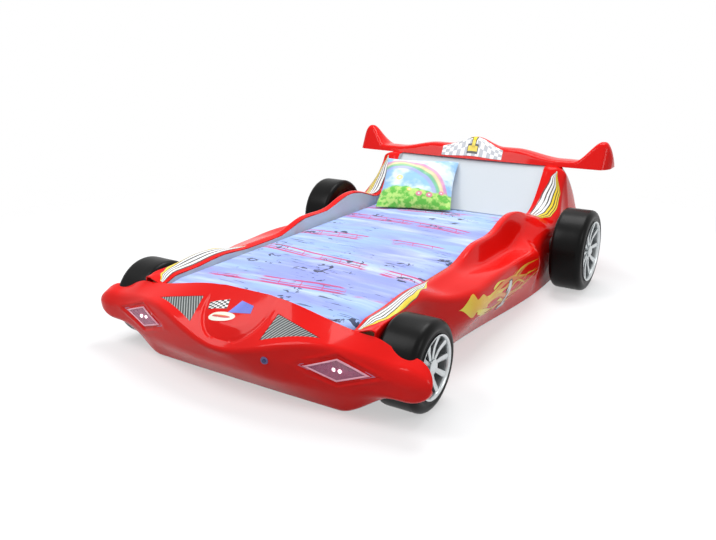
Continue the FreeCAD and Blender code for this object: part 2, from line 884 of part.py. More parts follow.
# ------------------------------------------------------ light switch

bezel_bore = "Sizes.ButtonRadius + Sizes.SlideGap"
button_face = "(Sizes.SwitchFlangeThickness + Sizes.ButtonStand)"
button_back = f"({button_face} - Sizes.ButtonLength)"
bezel_floor = f"({button_back} - Sizes.ButtonTravel - Sizes.ButtonSpare)"
bezel, _ = turned("switch_bezel", [
    ("-Sizes.SwitchBodyLength", "0"),
    ("-Sizes.SwitchBodyLength", "Sizes.SwitchHoleRadius"),
    ("0", "Sizes.SwitchHoleRadius"),
    ("0", "Sizes.SwitchFlangeRadius"),
    ("Sizes.SwitchFlangeThickness", "Sizes.SwitchFlangeRadius - 1"),
    ("Sizes.SwitchFlangeThickness", bezel_bore),
    (bezel_floor, bezel_bore),
    (bezel_floor, "0"),
])
button, _ = turned("switch_button", [
    (button_back, "0"),
    (button_back, "Sizes.ButtonRadius"),
    (f"{button_face} - Sizes.ButtonEdge", "Sizes.ButtonRadius"),
    (button_face, "Sizes.ButtonRadius - Sizes.ButtonEdge"),
    (button_face, "0"),
])
nut = doc.addObject("Part::Prism", "nut_blank")
nut.Polygon = 6
nut.setExpression("Circumradius", "Sizes.SwitchNutRadius")
nut.setExpression("Height", "Sizes.SwitchNutThickness")
nut_hole = doc.addObject("Part::Cylinder", "nut_hole")
nut_hole.setExpression("Radius", "Sizes.SwitchHoleRadius + Sizes.SlideGap / 2")
nut_hole.setExpression("Height", "Sizes.SwitchNutThickness")
switch_nut = cut("switch_nut", nut, nut_hole)
for item in (bezel, button):
    item.Placement = FreeCAD.Placement(switch_seat, switch_turn)
    keep(item, item.Name)
nut_turn = FreeCAD.Rotation(Vector(0, 0, 1), switch_axis)
switch_nut.Placement = FreeCAD.Placement(
    switch_seat - switch_axis * (wall + 2 * size("SwitchSeatGap") + size("SwitchNutThickness")), nut_turn)
keep(switch_nut, "switch_nut")
for item in (bezel, button, switch_nut):
    item.setExpression("Placement.Base.y", f"{Y_FRONT} + {item.Placement.Base.y}")

# ------------------------------------------------------ boards

keep(shaped("frame_screws", Part.makeCompound([screw(*rod) for rod in side_rods + to_left(side_rods)])),
     "frame_screws")

side_points = [(well_front, board_bottom), (well_front, size("FrontBoardTop"))]
for y in side_stations:
    if size("SideFront") + 1 < y < board_back:
        side_points.append((y, rim_level(y) - skin_drop(y) - size("ScrewGap")))
side_points.append((board_back, rim_level(board_back) - skin_drop(board_back) - size("ScrewGap")))
side_points.append((board_back, board_bottom))
side_blank = closed_face([Vector(inner_face, y, z) for y, z in side_points]).extrude(Vector(board, 0, 0))
bolt_gap = size("WheelBoltRadius") + size("ScrewGap")
for wheel in WHEELS:
    side_blank = side_blank.cut(wheel_rod(wheel, bolt_gap, inner_face + 4, outer_face))
blank = shaped("side_board_blank", side_blank)
blank.setExpression("Placement.Base.y", Y_FRONT)
side_board = keep(cut("side_board_right", blank, shank_holes("side_board_holes", side_rods + wing_rods)),
                  "side_board_right", along=False)
mirrored(side_board, "side_board_left")

OUTER = "(Sizes.MattressWidth / 2 + Sizes.MattressGap + Sizes.BoardThickness)"
INNER = "(Sizes.MattressWidth / 2 + Sizes.MattressGap)"
WELL_FRONT = f"({Y_FRONT} - 5 * Sizes.MattressGap)"
WELL_BACK = f"({Y_FRONT} - 3 * Sizes.MattressGap + Sizes.MattressLength)"
BOTTOM = "Sizes.BoardBottom"
front_blank = box("front_board_blank",
                  (f"2 * {OUTER}", "Sizes.BoardThickness", f"Sizes.FrontBoardTop - {BOTTOM}"),
                  (f"-{OUTER}", f"{WELL_FRONT} - Sizes.BoardThickness", BOTTOM))
keep(cut("front_board", front_blank, shank_holes("front_board_holes", front_screws + to_left(front_screws))),
     "front_board", along=False)
rear_blank = box("rear_board_blank",
                 (f"2 * {INNER}", "Sizes.BoardThickness", f"Sizes.RearBoardTop - {BOTTOM}"),
                 (f"-{INNER}", WELL_BACK, BOTTOM))
keep(cut("rear_board", rear_blank, shank_holes("rear_board_holes", rear_screws + to_left(rear_screws))),
     "rear_board", along=False)

# Slanted headboard between the side boards, with a cleat behind each end.
LEAN = "tan(Sizes.HeadboardLean * 1 deg)"
BACK_STEP = "Sizes.HeadboardThickness / cos(Sizes.HeadboardLean * 1 deg)"
HEAD_TOP = f"Sizes.HeadboardFoot + (Sizes.HeadboardTop - Sizes.MattressTop) * {LEAN}"
headboard, _ = padded("headboard", "YZ_Plane", [
    ("Sizes.HeadboardFoot", "Sizes.RearBoardTop"),
    ("Sizes.HeadboardFoot", "Sizes.MattressTop"),
    (HEAD_TOP, "Sizes.HeadboardTop"),
    (f"{HEAD_TOP} + {BACK_STEP}", "Sizes.HeadboardTop"),
    (f"Sizes.HeadboardFoot + {BACK_STEP} - (Sizes.MattressTop - Sizes.RearBoardTop) * {LEAN}",
     "Sizes.RearBoardTop"),
], f"2 * {INNER}")
headboard.setExpression("Placement.Base.x", f"-{INNER}")
keep(headboard, "headboard")
CLEAT_LOW = f"Sizes.HeadboardFoot + {BACK_STEP} + Sizes.CleatStart * {LEAN}"
CLEAT_HIGH = f"Sizes.HeadboardFoot + {BACK_STEP} + Sizes.CleatEnd * {LEAN}"
cleats = []
for side, start in (("left", f"-{INNER}"), ("right", f"{INNER} - Sizes.BattenSize")):
    cleat, _ = padded(f"headboard_cleat_{side}", "YZ_Plane", [
        (CLEAT_LOW, "Sizes.MattressTop + Sizes.CleatStart"),
        (CLEAT_HIGH, "Sizes.MattressTop + Sizes.CleatEnd"),
        (f"{CLEAT_HIGH} + Sizes.BattenSize", "Sizes.MattressTop + Sizes.CleatEnd"),
        (f"{CLEAT_LOW} + Sizes.BattenSize", "Sizes.MattressTop + Sizes.CleatStart"),
    ], "Sizes.BattenSize")
    cleat.setExpression("Placement.Base.x", start)
    cleats.append(cleat)
keep(group("headboard_cleats", cleats), "headboard_cleats")

# ------------------------------------------------------ slatted base

SLAT_TOP = "(Sizes.MattressTop - Sizes.MattressThickness)"
RAIL_TOP = f"({SLAT_TOP} - Sizes.SlatThickness)"
rail_blank = box("slat_rail_blank", ("Sizes.RailWidth", f"{WELL_BACK} - {WELL_FRONT}", "Sizes.RailHeight"),
                 (f"{INNER} - Sizes.RailWidth", WELL_FRONT, f"{RAIL_TOP} - Sizes.RailHeight"))
rail = keep(cut("slat_rail_right", rail_blank, shank_holes("slat_rail_holes", rail_screws)),
            "slat_rail_right", along=False)
mirrored(rail, "slat_rail_left")
SLAT_PITCH = "((Sizes.MattressLength - Sizes.SlatWidth) / (Sizes.SlatCount - 1))"
FIRST_SLAT = f"{WELL_FRONT} + Sizes.MattressGap"
slats = []
for number in range(int(size("SlatCount"))):
    slats.append(box(f"slat_{number + 1}",
                     (f"2 * ({INNER} - Sizes.SlatEndGap)", "Sizes.SlatWidth", "Sizes.SlatThickness"),
                     (f"Sizes.SlatEndGap - {INNER}", f"{FIRST_SLAT} + {number} * {SLAT_PITCH}", RAIL_TOP)))
keep(group("slats", slats), "slats", along=False)
straps = []
for side in (-1, 1):
    straps.append(box(f"slat_strap_{side + 2}",
                      ("Sizes.WebbingWidth", "Sizes.MattressLength", "Sizes.WebbingThickness"),
                      (f"{side} * Sizes.WebbingPlace - Sizes.WebbingWidth / 2",
                       FIRST_SLAT, f"{RAIL_TOP} - Sizes.WebbingThickness")))
keep(group("slat_straps", straps), "slat_straps", along=False)

blocks = []
for side in (0, 1):
    across = f"-{INNER}" if side == 0 else f"{INNER} - Sizes.CornerBlock"
    for end, along in (("front", WELL_FRONT), ("rear", f"{WELL_BACK} - Sizes.CornerBlock")):
        blocks.append(box(f"corner_block_{end}_{side + 1}",
                          ("Sizes.CornerBlock", "Sizes.CornerBlock", "Sizes.CornerBlockHeight"),
                          (across, along, BOTTOM)))
keep(group("corner_blocks", blocks), "corner_blocks", along=False)

glides = []
for side in (-1, 1):
    for number, place in enumerate((60, 800, 1540)):
        glide = doc.addObject("Part::Prism", f"floor_glide_{number}_{side + 2}")
        glide.Polygon = 12
        glide.setExpression("Circumradius", "Sizes.GlideRadius")
        glide.setExpression("Height", BOTTOM)
        glide.setExpression("Placement.Base.x", f"{side} * ({INNER} + Sizes.BoardThickness / 2)")
        glide.setExpression("Placement.Base.y", f"{Y_FRONT} + {place}")
        glides.append(glide)
keep(group("floor_glides", glides), "floor_glides", along=False)

# ------------------------------------------------------ battery box with a sliding lid

BOX_X = "(Sizes.SwitchAcross - Sizes.BatteryBoxLength / 2)"
GROOVE = "(Sizes.BatteryLidThickness + 2 * Sizes.SlideGap)"
LID_BACK = f"({WELL_FRONT} + Sizes.BatteryBoxDepth - Sizes.BatteryBoxWall)"
box_blank = box("battery_box_blank",
                ("Sizes.BatteryBoxLength", "Sizes.BatteryBoxDepth", "Sizes.BatteryBoxHeight"),
                (BOX_X, WELL_FRONT, "Sizes.BatteryLevel"))
box_room = box("battery_box_room",
               ("Sizes.BatteryBoxLength - 2 * Sizes.BatteryBoxWall", "Sizes.BatteryBoxDepth",
                "Sizes.BatteryBoxHeight - 4 * Sizes.BatteryBoxWall"),
               (f"{BOX_X} + Sizes.BatteryBoxWall", f"{WELL_FRONT} + Sizes.BatteryBoxWall",
                "Sizes.BatteryLevel + 2 * Sizes.BatteryBoxWall"))
box_groove = box("battery_box_groove",
                 ("Sizes.BatteryBoxLength", GROOVE, "Sizes.BatteryBoxHeight - 2 * Sizes.BatteryBoxWall"),
                 (f"{BOX_X} + Sizes.BatteryBoxWall", f"{LID_BACK} - {GROOVE}",
                  "Sizes.BatteryLevel + Sizes.BatteryBoxWall"))
battery_box = cut("battery_box", cut("battery_box_hollow", box_blank, box_room), box_groove)
keep(battery_box, "battery_box", along=False)
lid = box("battery_box_lid",
          ("Sizes.BatteryBoxLength - Sizes.BatteryBoxWall - Sizes.SlideGap", "Sizes.BatteryLidThickness",
           "Sizes.BatteryBoxHeight - 2 * Sizes.BatteryBoxWall - 2 * Sizes.SlideGap"),
          (f"{BOX_X} + Sizes.BatteryBoxWall + Sizes.SlideGap", f"{LID_BACK} - {GROOVE} + Sizes.SlideGap",
           "Sizes.BatteryLevel + Sizes.BatteryBoxWall + Sizes.SlideGap"))
keep(lid, "battery_box_lid", along=False)
cells = []
for number in range(3):
    cell = doc.addObject("Part::Cylinder", f"battery_{number + 1}")
    cell.setExpression("Radius", "Sizes.CellRadius")
    cell.setExpression("Height", "Sizes.CellLength")
    cell.Placement.Rotation = FreeCAD.Rotation(Vector(0, 1, 0), 90)
    cell.setExpression("Placement.Base.x", "Sizes.SwitchAcross - Sizes.CellLength / 2")
    cell.setExpression("Placement.Base.y",
                       f"{WELL_FRONT} + Sizes.BatteryBoxWall + Sizes.CellRadius + Sizes.SlideGap")
    cell.setExpression("Placement.Base.z",
                       f"Sizes.BatteryLevel + Sizes.BatteryBoxHeight / 2 + {number - 1} * Sizes.CellPitch")
    cells.append(cell)
keep(group("batteries", cells), "batteries", along=False)

# ------------------------------------------------------ wheels

wheel_bolts = []
for wheel, (tyre_radius, tyre_width, rim_radius, wheel_inset, wheel_place) in WHEELS.items():
    R, W, r = (f"Sizes.{name}" for name in (tyre_radius, tyre_width, rim_radius))
    at = (f"Sizes.{wheel_inset}", f"{Y_FRONT} + Sizes.{wheel_place}", R)

    def seat(item, label):
        for axis, text in zip("xyz", at):
            item.setExpression(f"Placement.Base.{axis}", text)
        keep(item, f"{wheel}_{label}_right", along=False)
        mirrored(item, f"{wheel}_{label}_left")

    tyre, _ = turned(f"{wheel}_tyre", [
        ("0", r), ("0", f"{R} - Sizes.TyreShoulder"), ("Sizes.TyreShoulder", R),
        (f"{W} - Sizes.TyreShoulder", R), (W, f"{R} - Sizes.TyreShoulder"), (W, r),
    ])
    seat(tyre, "tyre")

    RIM = f"({r} - Sizes.SlideGap)"
    BORE = f"({RIM} - Sizes.RimWall)"
    FACE = f"({W} + Sizes.SlideGap)"
    SPOKE = f"({W} - Sizes.SpokeDish)"
    rim, _ = turned(f"{wheel}_rim", [
        ("Sizes.RimSetback", RIM), (FACE, RIM), (FACE, f"{r} + Sizes.RimLip"),
        (f"{FACE} + Sizes.RimRing", f"{r} + Sizes.RimLip"), (f"{FACE} + Sizes.RimRing", BORE),
        ("Sizes.RimSetback", BORE),
    ])
    spoke_sketch = sketch_outline(rim, f"{wheel}_spoke_outline", "YZ_Plane", [
        ("-Sizes.SpokeRootWidth / 2", "Sizes.HubRadius - 5"),
        ("Sizes.SpokeRootWidth / 2", "Sizes.HubRadius - 5"),
        ("Sizes.SpokeTipWidth / 2", f"{BORE} + 1"), ("-Sizes.SpokeTipWidth / 2", f"{BORE} + 1"),
    ])
    spoke_sketch.setExpression("AttachmentOffset.Base.z", f"{SPOKE} - Sizes.SpokeThickness")
    spoke = rim.newObject("PartDesign::Pad", f"{wheel}_spoke")
    spoke.Profile = spoke_sketch
    spoke.setExpression("Length", "Sizes.SpokeThickness")
    doc.recompute()
    ring = rim.newObject("PartDesign::PolarPattern", f"{wheel}_spokes")
    ring.Originals = [spoke]
    ring.Axis = (spoke_sketch, ["N_Axis"])
    ring.Angle = 360
    ring.setExpression("Occurrences", "Sizes.SpokeCount")
    rim.Tip = ring
    doc.recompute()
    hub_sketch = sketch_outline(rim, f"{wheel}_hub_outline", "XY_Plane", [
        (f"{SPOKE} - Sizes.SpokeThickness", "Sizes.WheelBoltRadius + Sizes.ScrewGap"),
        (f"{SPOKE} - Sizes.SpokeThickness", "Sizes.HubRadius"), (SPOKE, "Sizes.HubRadius"),
        (SPOKE, "Sizes.WheelBoltRadius + Sizes.ScrewGap"),
    ])
    hub = rim.newObject("PartDesign::Revolution", f"{wheel}_hub")
    hub.Profile = hub_sketch
    hub.ReferenceAxis = (hub_sketch, ["H_Axis"])
    hub.Angle = 360
    rim.Tip = hub
    seat(rim, "rim")

    CAP_FACE = f"{SPOKE} + Sizes.HubCapStand"
    CAP_EDGE = f"{SPOKE} + Sizes.HubCapStand * Sizes.HubCapEdgeShare"
    cap, _ = turned(f"{wheel}_hub_cap", [
        (SPOKE, "Sizes.HubCapRadius - Sizes.HubCapWall"), (SPOKE, "Sizes.HubCapRadius"),
        (CAP_EDGE, "Sizes.HubCapRadius"), (CAP_FACE, "Sizes.HubCapFaceRadius"), (CAP_FACE, "0"),
        (f"{CAP_FACE} - Sizes.HubCapWall", "0"),
        (f"{CAP_FACE} - Sizes.HubCapWall", "Sizes.HubCapFaceRadius - Sizes.HubCapWall / 2"),
        (f"{CAP_EDGE} - Sizes.HubCapWall / 2", "Sizes.HubCapRadius - Sizes.HubCapWall"),
    ])
    seat(cap, "hub_cap")

    BOARD_FACE = f"({OUTER} - Sizes.{wheel_inset})"
    mount, _ = turned(f"{wheel}_wheel_mount", [
        (BOARD_FACE, "Sizes.WheelBoltRadius + Sizes.ScrewGap"), (BOARD_FACE, "Sizes.MountBossRadius"),
        ("Sizes.MountSetback", "Sizes.MountBossRadius"), ("Sizes.MountSetback", f"{BORE} - Sizes.SlideGap"),
        ("Sizes.MountSetback + Sizes.MountDiscThickness", f"{BORE} - Sizes.SlideGap"),
        ("Sizes.MountSetback + Sizes.MountDiscThickness", "Sizes.HubRadius"),
        (f"{SPOKE} - Sizes.SpokeThickness", "Sizes.HubRadius"),
        (f"{SPOKE} - Sizes.SpokeThickness", "Sizes.WheelBoltRadius + Sizes.ScrewGap"),
    ])
    seat(mount, "wheel_mount")

    hub_face = size(wheel_inset) + size(tyre_width) - size("SpokeDish")
    bolt = wheel_rod(wheel, size("WheelBoltRadius"), inner_face + 5, hub_face)
    head_seat = Vector(hub_face, size(wheel_place), size(tyre_radius))
    bolt = bolt.fuse(rod(size("BoltHeadFlats") / 2, size("BoltHeadHeight"), head_seat, RIGHT))
    wheel_bolts += [bolt, bolt.mirror(Vector(0, 0, 0), Vector(1, 0, 0))]
keep(shaped("wheel_bolts", Part.makeCompound(wheel_bolts)), "wheel_bolts")

# ------------------------------------------------------ wing with its base board

keep(shaped("wing_shell", wing_outer.cut(wing_cavity)), "wing_shell")
keep(shaped("wing_screws", Part.makeCompound([screw(*rod) for rod in wing_rods + to_left(wing_rods)])),
     "wing_screws")
base_blank = box("wing_base_blank",
                 ("2 * Sizes.WingBaseHalfLength", "Sizes.WingBaseDepth", "Sizes.WingBaseThickness"),
                 ("-Sizes.WingBaseHalfLength", f"{Y_FRONT} + Sizes.WingBaseFront", "Sizes.WingSeat"))
base_holes = shank_holes("wing_base_holes", wing_rods + to_left(wing_rods))
keep(cut("wing_base", base_blank, base_holes), "wing_base", along=False)

# ------------------------------------------------------ mattress, its fitted sheet, and the pillow

def rounded_rectangle(shrink, level, grow=0.0):
    half = size("MattressWidth") / 2 - shrink + grow
    front = mattress_front + shrink - grow
    back = mattress_front + size("MattressLength") - shrink + grow
    radius = size("MattressCorner")
    points = []
    right, left, far, near = half - radius, radius - half, back - radius, front + radius
    for across, along, turn in ((right, far, 0), (left, far, 90), (left, near, 180), (right, near, 270)):
        centre = Vector(across, along, level)
        for step in range(5):
            angle = math.radians(turn + 22.5 * step)
            points.append(centre + Vector(radius * math.cos(angle), radius * math.sin(angle), 0))
    return points


def mattress_solid(grow, start):
    """Drawn-in sides and a crowned top; the sheet is the same form, a little larger."""
    thick = size("MattressThickness")
    rings = [(14, 0), (3, 14), (0, thick * 0.5), (3, thick - 22), (12, thick - 9), (34, thick - 2)]
    used = [(shrink, level) for shrink, level in rings if level >= start]
    sections = [rounded_rectangle(shrink, slat_top + level, grow) for shrink, level in used]
    lift = slat_top + thick + grow
    sections.append(rounded_rectangle(110, lift + size("MattressCrown") * 0.4, grow))
    sections.append(rounded_rectangle(220, lift + size("MattressCrown") * 0.75, grow))
    sections.append(rounded_rectangle(330, lift + size("MattressCrown"), grow))
    return loft(sections)


mattress = mattress_solid(0, 0)
keep(shaped("mattress", mattress), "mattress")
cover = mattress_solid(size("SheetThickness"), 10).cut(mattress_solid(size("SlideGap"), 0))
keep(shaped("bed_sheet", cover), "bed_sheet")


def pillow_ring(share, level):
    """One ring of the pillow: pinched sides and full corners at the seam, rounder towards the faces."""
    half_width, half_height = size("PillowWidth") / 2 * share, size("PillowHeight") / 2 * share
    ends = [(half_width, half_height), (-half_width, half_height), (-half_width, -half_height),
            (half_width, -half_height)]
    points = []
    for index, (across, up) in enumerate(ends):
        next_across, next_up = ends[(index + 1) % 4]
        for step in range(6):
            along = step / 6
            pull = 1 - size("PillowWaist") * (3 * share - 2) * math.sin(math.pi * along) / half_height
            middle = Vector(across + (next_across - across) * along, up + (next_up - up) * along, 0)
            pull_x, pull_y = (pull, 1) if index % 2 else (1, pull)
            points.append(Vector(middle.x * pull_x, middle.y * pull_y, level))
    return points


pillow_rings = ((0.42, -1), (0.7, -0.8), (0.9, -0.45), (1, 0), (0.9, 0.45), (0.7, 0.8), (0.42, 1))
pillow = shaped("pillow", loft([pillow_ring(share, level * size("PillowThickness") / 2)
                                for share, level in pillow_rings]))
turn = FreeCAD.Rotation(Vector(0, 0, 1), size("PillowTurn"))
lean = FreeCAD.Rotation(Vector(1, 0, 0), size("PillowLean"))
seat = Vector(size("PillowAcross"), size("PillowPlace"), size("PillowLevel"))
pillow.Placement = FreeCAD.Placement(seat, turn * lean)
keep(pillow, "pillow")
pillow.setExpression("Placement.Base.y", f"{Y_FRONT} + Sizes.PillowPlace")

# ------------------------------------------------------ checks and files

doc.recompute()
for item in doc.Objects:
    if {"Invalid", "Error"} & set(item.State):
        raise RuntimeError(f"{item.Label} did not rebuild: {item.State}")
for item in parts:
    if item.Shape.isNull() or not item.Shape.isValid():
        raise RuntimeError(f"{item.Label} has no valid shape")
os.makedirs("parts", exist_ok=True)
for item in parts:
    item.Shape.exportStep(f"parts/{item.Label}.step")
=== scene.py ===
"""Looks of a racing-car bed for a child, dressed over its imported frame."""
from __future__ import annotations

import logging
import math
from dataclasses import dataclass, field
from enum import Enum
from typing import Sequence

import bmesh
import bpy
from mathutils import Matrix, Vector, noise


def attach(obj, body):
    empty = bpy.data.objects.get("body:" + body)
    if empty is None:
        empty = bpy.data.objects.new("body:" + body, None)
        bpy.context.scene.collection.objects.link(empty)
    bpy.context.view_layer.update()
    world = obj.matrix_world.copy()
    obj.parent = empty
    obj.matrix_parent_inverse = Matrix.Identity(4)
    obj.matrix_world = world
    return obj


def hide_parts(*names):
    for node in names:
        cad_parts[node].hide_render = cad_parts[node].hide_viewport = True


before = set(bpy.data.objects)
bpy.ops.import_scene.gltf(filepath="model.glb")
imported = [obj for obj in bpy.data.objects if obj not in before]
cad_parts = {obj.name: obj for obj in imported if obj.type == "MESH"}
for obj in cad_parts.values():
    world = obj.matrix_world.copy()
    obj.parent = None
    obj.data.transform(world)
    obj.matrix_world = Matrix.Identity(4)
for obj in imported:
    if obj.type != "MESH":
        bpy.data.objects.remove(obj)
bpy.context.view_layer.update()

LOG = logging.getLogger("car_bed")
MATTRESS_FRONT_TO_ORIGIN = 902.5
Colour = tuple[float, float, float]
Pair = tuple[float, float]
Triple = tuple[float, float, float]
Profile = list[Pair]


def frame_point(across: float, along: float, up: float) -> Vector:
    """A point in metres from millimetres, with lengths along the bed counted from the mattress's front."""
    return Vector((across, along - MATTRESS_FRONT_TO_ORIGIN, up)) / 1000


def smooth(value: float, start: float, end: float) -> float:
    """Rises from 0 at start to 1 at end, level at both."""
    share = min(1.0, max(0.0, (value - start) / (end - start)))
    return share * share * (3 - 2 * share)


def bump(value: float, place: float, run: float) -> float:
    """A smooth hump: 1 at its place, 0 from one run away."""
    return math.cos(min(1.0, abs(value - place) / run) * math.pi / 2) ** 2


def between(value: float, pairs: Sequence[Pair]) -> float:
    """Reads a curve given by (place, height) pairs, smoothly between them."""
    if value <= pairs[0][0]:
        return pairs[0][1]
    for (place, height), (next_place, next_height) in zip(pairs, pairs[1:]):
        if value <= next_place:
            return height + (next_height - height) * smooth(value, place, next_place)
    return pairs[-1][1]


def spaced(start: float, end: float, steps: int) -> list[float]:
    """Evenly spaced values from start to end, both included."""
    return [start + (end - start) * step / steps for step in range(steps + 1)]


@dataclass(frozen=True)
class Curve:
    """A size that changes along a line: a first value, with smooth steps and humps added to it."""

    first: float
    steps: tuple[Triple, ...] = ()
    humps: tuple[Triple, ...] = ()

    def at(self, place: float) -> float:
        """The size at a place, from steps of (rise, from, to) and humps of (height, place, run)."""
        rises = sum(rise * smooth(place, start, end) for rise, start, end in self.steps)
        return self.first + rises + sum(height * bump(place, middle, run) for height, middle, run in self.humps)


class Side(Enum):
    """The two sides of the bed; the value is the sign of X."""

    RIGHT = 1
    LEFT = -1

    @property
    def word(self) -> str:
        """The side's name as used in piece and node names."""
        return self.name.lower()


# ------------------------------------------------------------------ materials


class Term:
    """A number that changes over a surface, so that shader maths reads as an expression."""

    def __init__(self, paint: Paint, socket: bpy.types.NodeSocket) -> None:
        """Wraps one socket of a material's node tree."""
        self.paint = paint
        self.socket = socket

    def _maths(self, operation: str, *others: Term | float) -> Term:
        """Adds one Math node on this value and the others."""
        node = self.paint.node("ShaderNodeMath", {"operation": operation}, {0: self})
        for index, other in enumerate(others, start=1):
            self.paint.feed(node.inputs[index], other)
        return Term(self.paint, node.outputs[0])

    def __add__(self, other: Term | float) -> Term:
        """Sum."""
        return self._maths("ADD", other)

    __radd__ = __add__

    def __sub__(self, other: Term | float) -> Term:
        """Difference."""
        return self._maths("SUBTRACT", other)

    def __rsub__(self, other: float) -> Term:
        """Difference from a plain number."""
        return self._maths("MULTIPLY", -1.0) + other

    def __mul__(self, other: Term | float) -> Term:
        """Product."""
        return self._maths("MULTIPLY", other)

    __rmul__ = __mul__

    def __truediv__(self, other: Term | float) -> Term:
        """Quotient."""
        return self._maths("DIVIDE", other)

    def __abs__(self) -> Term:
        """Size without the sign."""
        return self._maths("ABSOLUTE")

    def below(self, limit: Term | float) -> Term:
        """1 where this is below the limit, else 0."""
        return self._maths("LESS_THAN", limit)

    def above(self, limit: Term | float) -> Term:
        """1 where this is above the limit, else 0."""
        return self._maths("GREATER_THAN", limit)

    def high(self, other: Term | float) -> Term:
        """The larger of the two."""
        return self._maths("MAXIMUM", other)

    def sine(self) -> Term:
        """Sine of the value in radians."""
        return self._maths("SINE")

    def fraction(self) -> Term:
        """The part after the decimal point."""
        return self._maths("FRACT")

    def whole(self) -> Term:
        """The value rounded down."""
        return self._maths("FLOOR")

    def power(self, exponent: float) -> Term:
        """The value raised to a power."""
        return self._maths("POWER", exponent)

    def ramp(self, start: float, end: float) -> Term:
        """Rises smoothly from 0 at start to 1 at end."""
        node = self.paint.node(
            "ShaderNodeMapRange", {"interpolation_type": "SMOOTHSTEP"},
            {"Value": self, "From Min": start, "From Max": end})
        return Term(self.paint, node.outputs[0])

    def band(self, middle: Term | float, half: float, soft: float = 0.0004) -> Term:
        """1 within half of the middle, fading over soft."""
        return 1 - abs(self - middle).ramp(half, half + soft)


class Nodes:
    """A node tree, and the one way in which nodes are added to it."""

    def __init__(self, tree: bpy.types.NodeTree) -> None:
        """Wraps a material's or the world's node tree."""
        self.tree = tree

    def feed(self, socket: bpy.types.NodeSocket, value: object) -> None:
        """Sets a socket to a number or colour, or links it to a value."""
        if isinstance(value, Term):
            self.tree.links.new(value.socket, socket)
        elif isinstance(value, bpy.types.NodeSocket):
            self.tree.links.new(value, socket)
        elif isinstance(value, (tuple, list, Vector)) and len(socket.default_value) == 4:
            socket.default_value = (*value[:3], 1.0)
        else:
            socket.default_value = value

    def node(self, kind: str, settings: dict[str, object], sockets: dict[object, object]) -> bpy.types.Node:
        """Adds a node: its settings first, then its sockets' values or links."""
        node = self.tree.nodes.new(kind)
        for key, value in settings.items():
            setattr(node, key, value)
        for key, value in sockets.items():
            self.feed(node.inputs[key], value)
        return node


class Paint(Nodes):
    """One material's nodes, and the few ways in which this bed's finishes use them."""

    def __init__(self, name: str) -> None:
        """Starts a material with an empty Principled surface."""
        self.material = bpy.data.materials.new(name)
        self.material.use_nodes = True
        super().__init__(self.material.node_tree)
        self.surface = next(node for node in self.tree.nodes if node.type == "BSDF_PRINCIPLED")

    def _where(self, output: str = "Object") -> bpy.types.NodeSocket:
        """The point's place: in the object's space, or on the piece's own UV map."""
        return self.node("ShaderNodeTexCoord", {}, {}).outputs[output]

    def place(self) -> tuple[Term, Term, Term]:
        """The point's X, Y and Z in metres."""
        parts = self.node("ShaderNodeSeparateXYZ", {}, {0: self._where()})
        return tuple(Term(self, output) for output in parts.outputs)

    def patch(self) -> tuple[Term, Term]:
        """The piece's own U and V, from 0 to 1."""
        parts = self.node("ShaderNodeSeparateXYZ", {}, {0: self._where("UV")})
        return Term(self, parts.outputs[0]), Term(self, parts.outputs[1])

    def _stretched(self, stretch: Triple) -> bpy.types.NodeSocket:
        """The point's place with each axis scaled."""
        return self.node("ShaderNodeMapping", {}, {"Vector": self._where(), "Scale": Vector(stretch)}).outputs[0]

    def cloud(self, scale: float, detail: float = 3.0, stretch: Triple = (1, 1, 1), twist: float = 0.0) -> Term:
        """Soft noise from 0 to 1 in the object's space."""
        node = self.node("ShaderNodeTexNoise", {}, {
            "Vector": self._stretched(stretch), "Scale": scale, "Detail": detail, "Distortion": twist})
        return Term(self, node.outputs["Fac"])

    def cells(self, scale: float, stretch: Triple = (1, 1, 1)) -> Term:
        """Distance to the nearest of scattered points."""
        node = self.node("ShaderNodeTexVoronoi", {}, {"Vector": self._stretched(stretch), "Scale": scale})
        return Term(self, node.outputs["Distance"])

    def mix(self, first: object, second: object, share: Term | float) -> bpy.types.NodeSocket:
        """The first colour turning into the second by the share."""
        node = self.node("ShaderNodeMix", {"data_type": "RGBA"}, {0: share, 6: first, 7: second})
        return node.outputs[2]

    def relief(self, height: Term, strength: float, depth: float) -> None:
        """Bumps the surface by a height, whose full swing is the depth in metres."""
        node = self.node("ShaderNodeBump", {}, {"Height": height, "Strength": strength, "Distance": depth})
        self.feed(self.surface.inputs["Normal"], node.outputs[0])

    def finish(self, colour: object, roughness: object, **others: object) -> bpy.types.Material:
        """Sets the surface's colour, roughness and other sockets, given by name with _ for a space.

        Args:
            colour: the base colour, plain or linked.
            roughness: plain or linked.
            others: such as Coat_Weight=1.0.

        Returns:
            The finished material.
        """
        self.feed(self.surface.inputs["Base Color"], colour)
        self.feed(self.surface.inputs["Roughness"], roughness)
        for name, value in others.items():
            self.feed(self.surface.inputs[name.replace("_", " ")], value)
        return self.material

    def vinyl(self, colour: object) -> bpy.types.Material:
        """Printed vinyl: a colour under a slightly uneven gloss."""
        return self.finish(colour, self.cloud(200, 3) * 0.1 + 0.24)


def toned(colour: Colour, share: float, more: float = 0.0) -> Colour:
    """A colour made darker or lighter."""
    return tuple(min(1.0, part * share + more) for part in colour)


@dataclass(frozen=True)
class Finish:
    """A finish of one colour family: its name, the record's slot and its base colour."""

    name: str
    slot: str
    colour: Colour

    def material(self) -> bpy.types.Material:
        """Makes the material, once."""
        known = bpy.data.materials.get(self.name)
        return known or self.make(Paint(self.name))

    def make(self, paint: Paint) -> bpy.types.Material:
        """Builds the nodes; each kind of finish has its own."""
        raise NotImplementedError


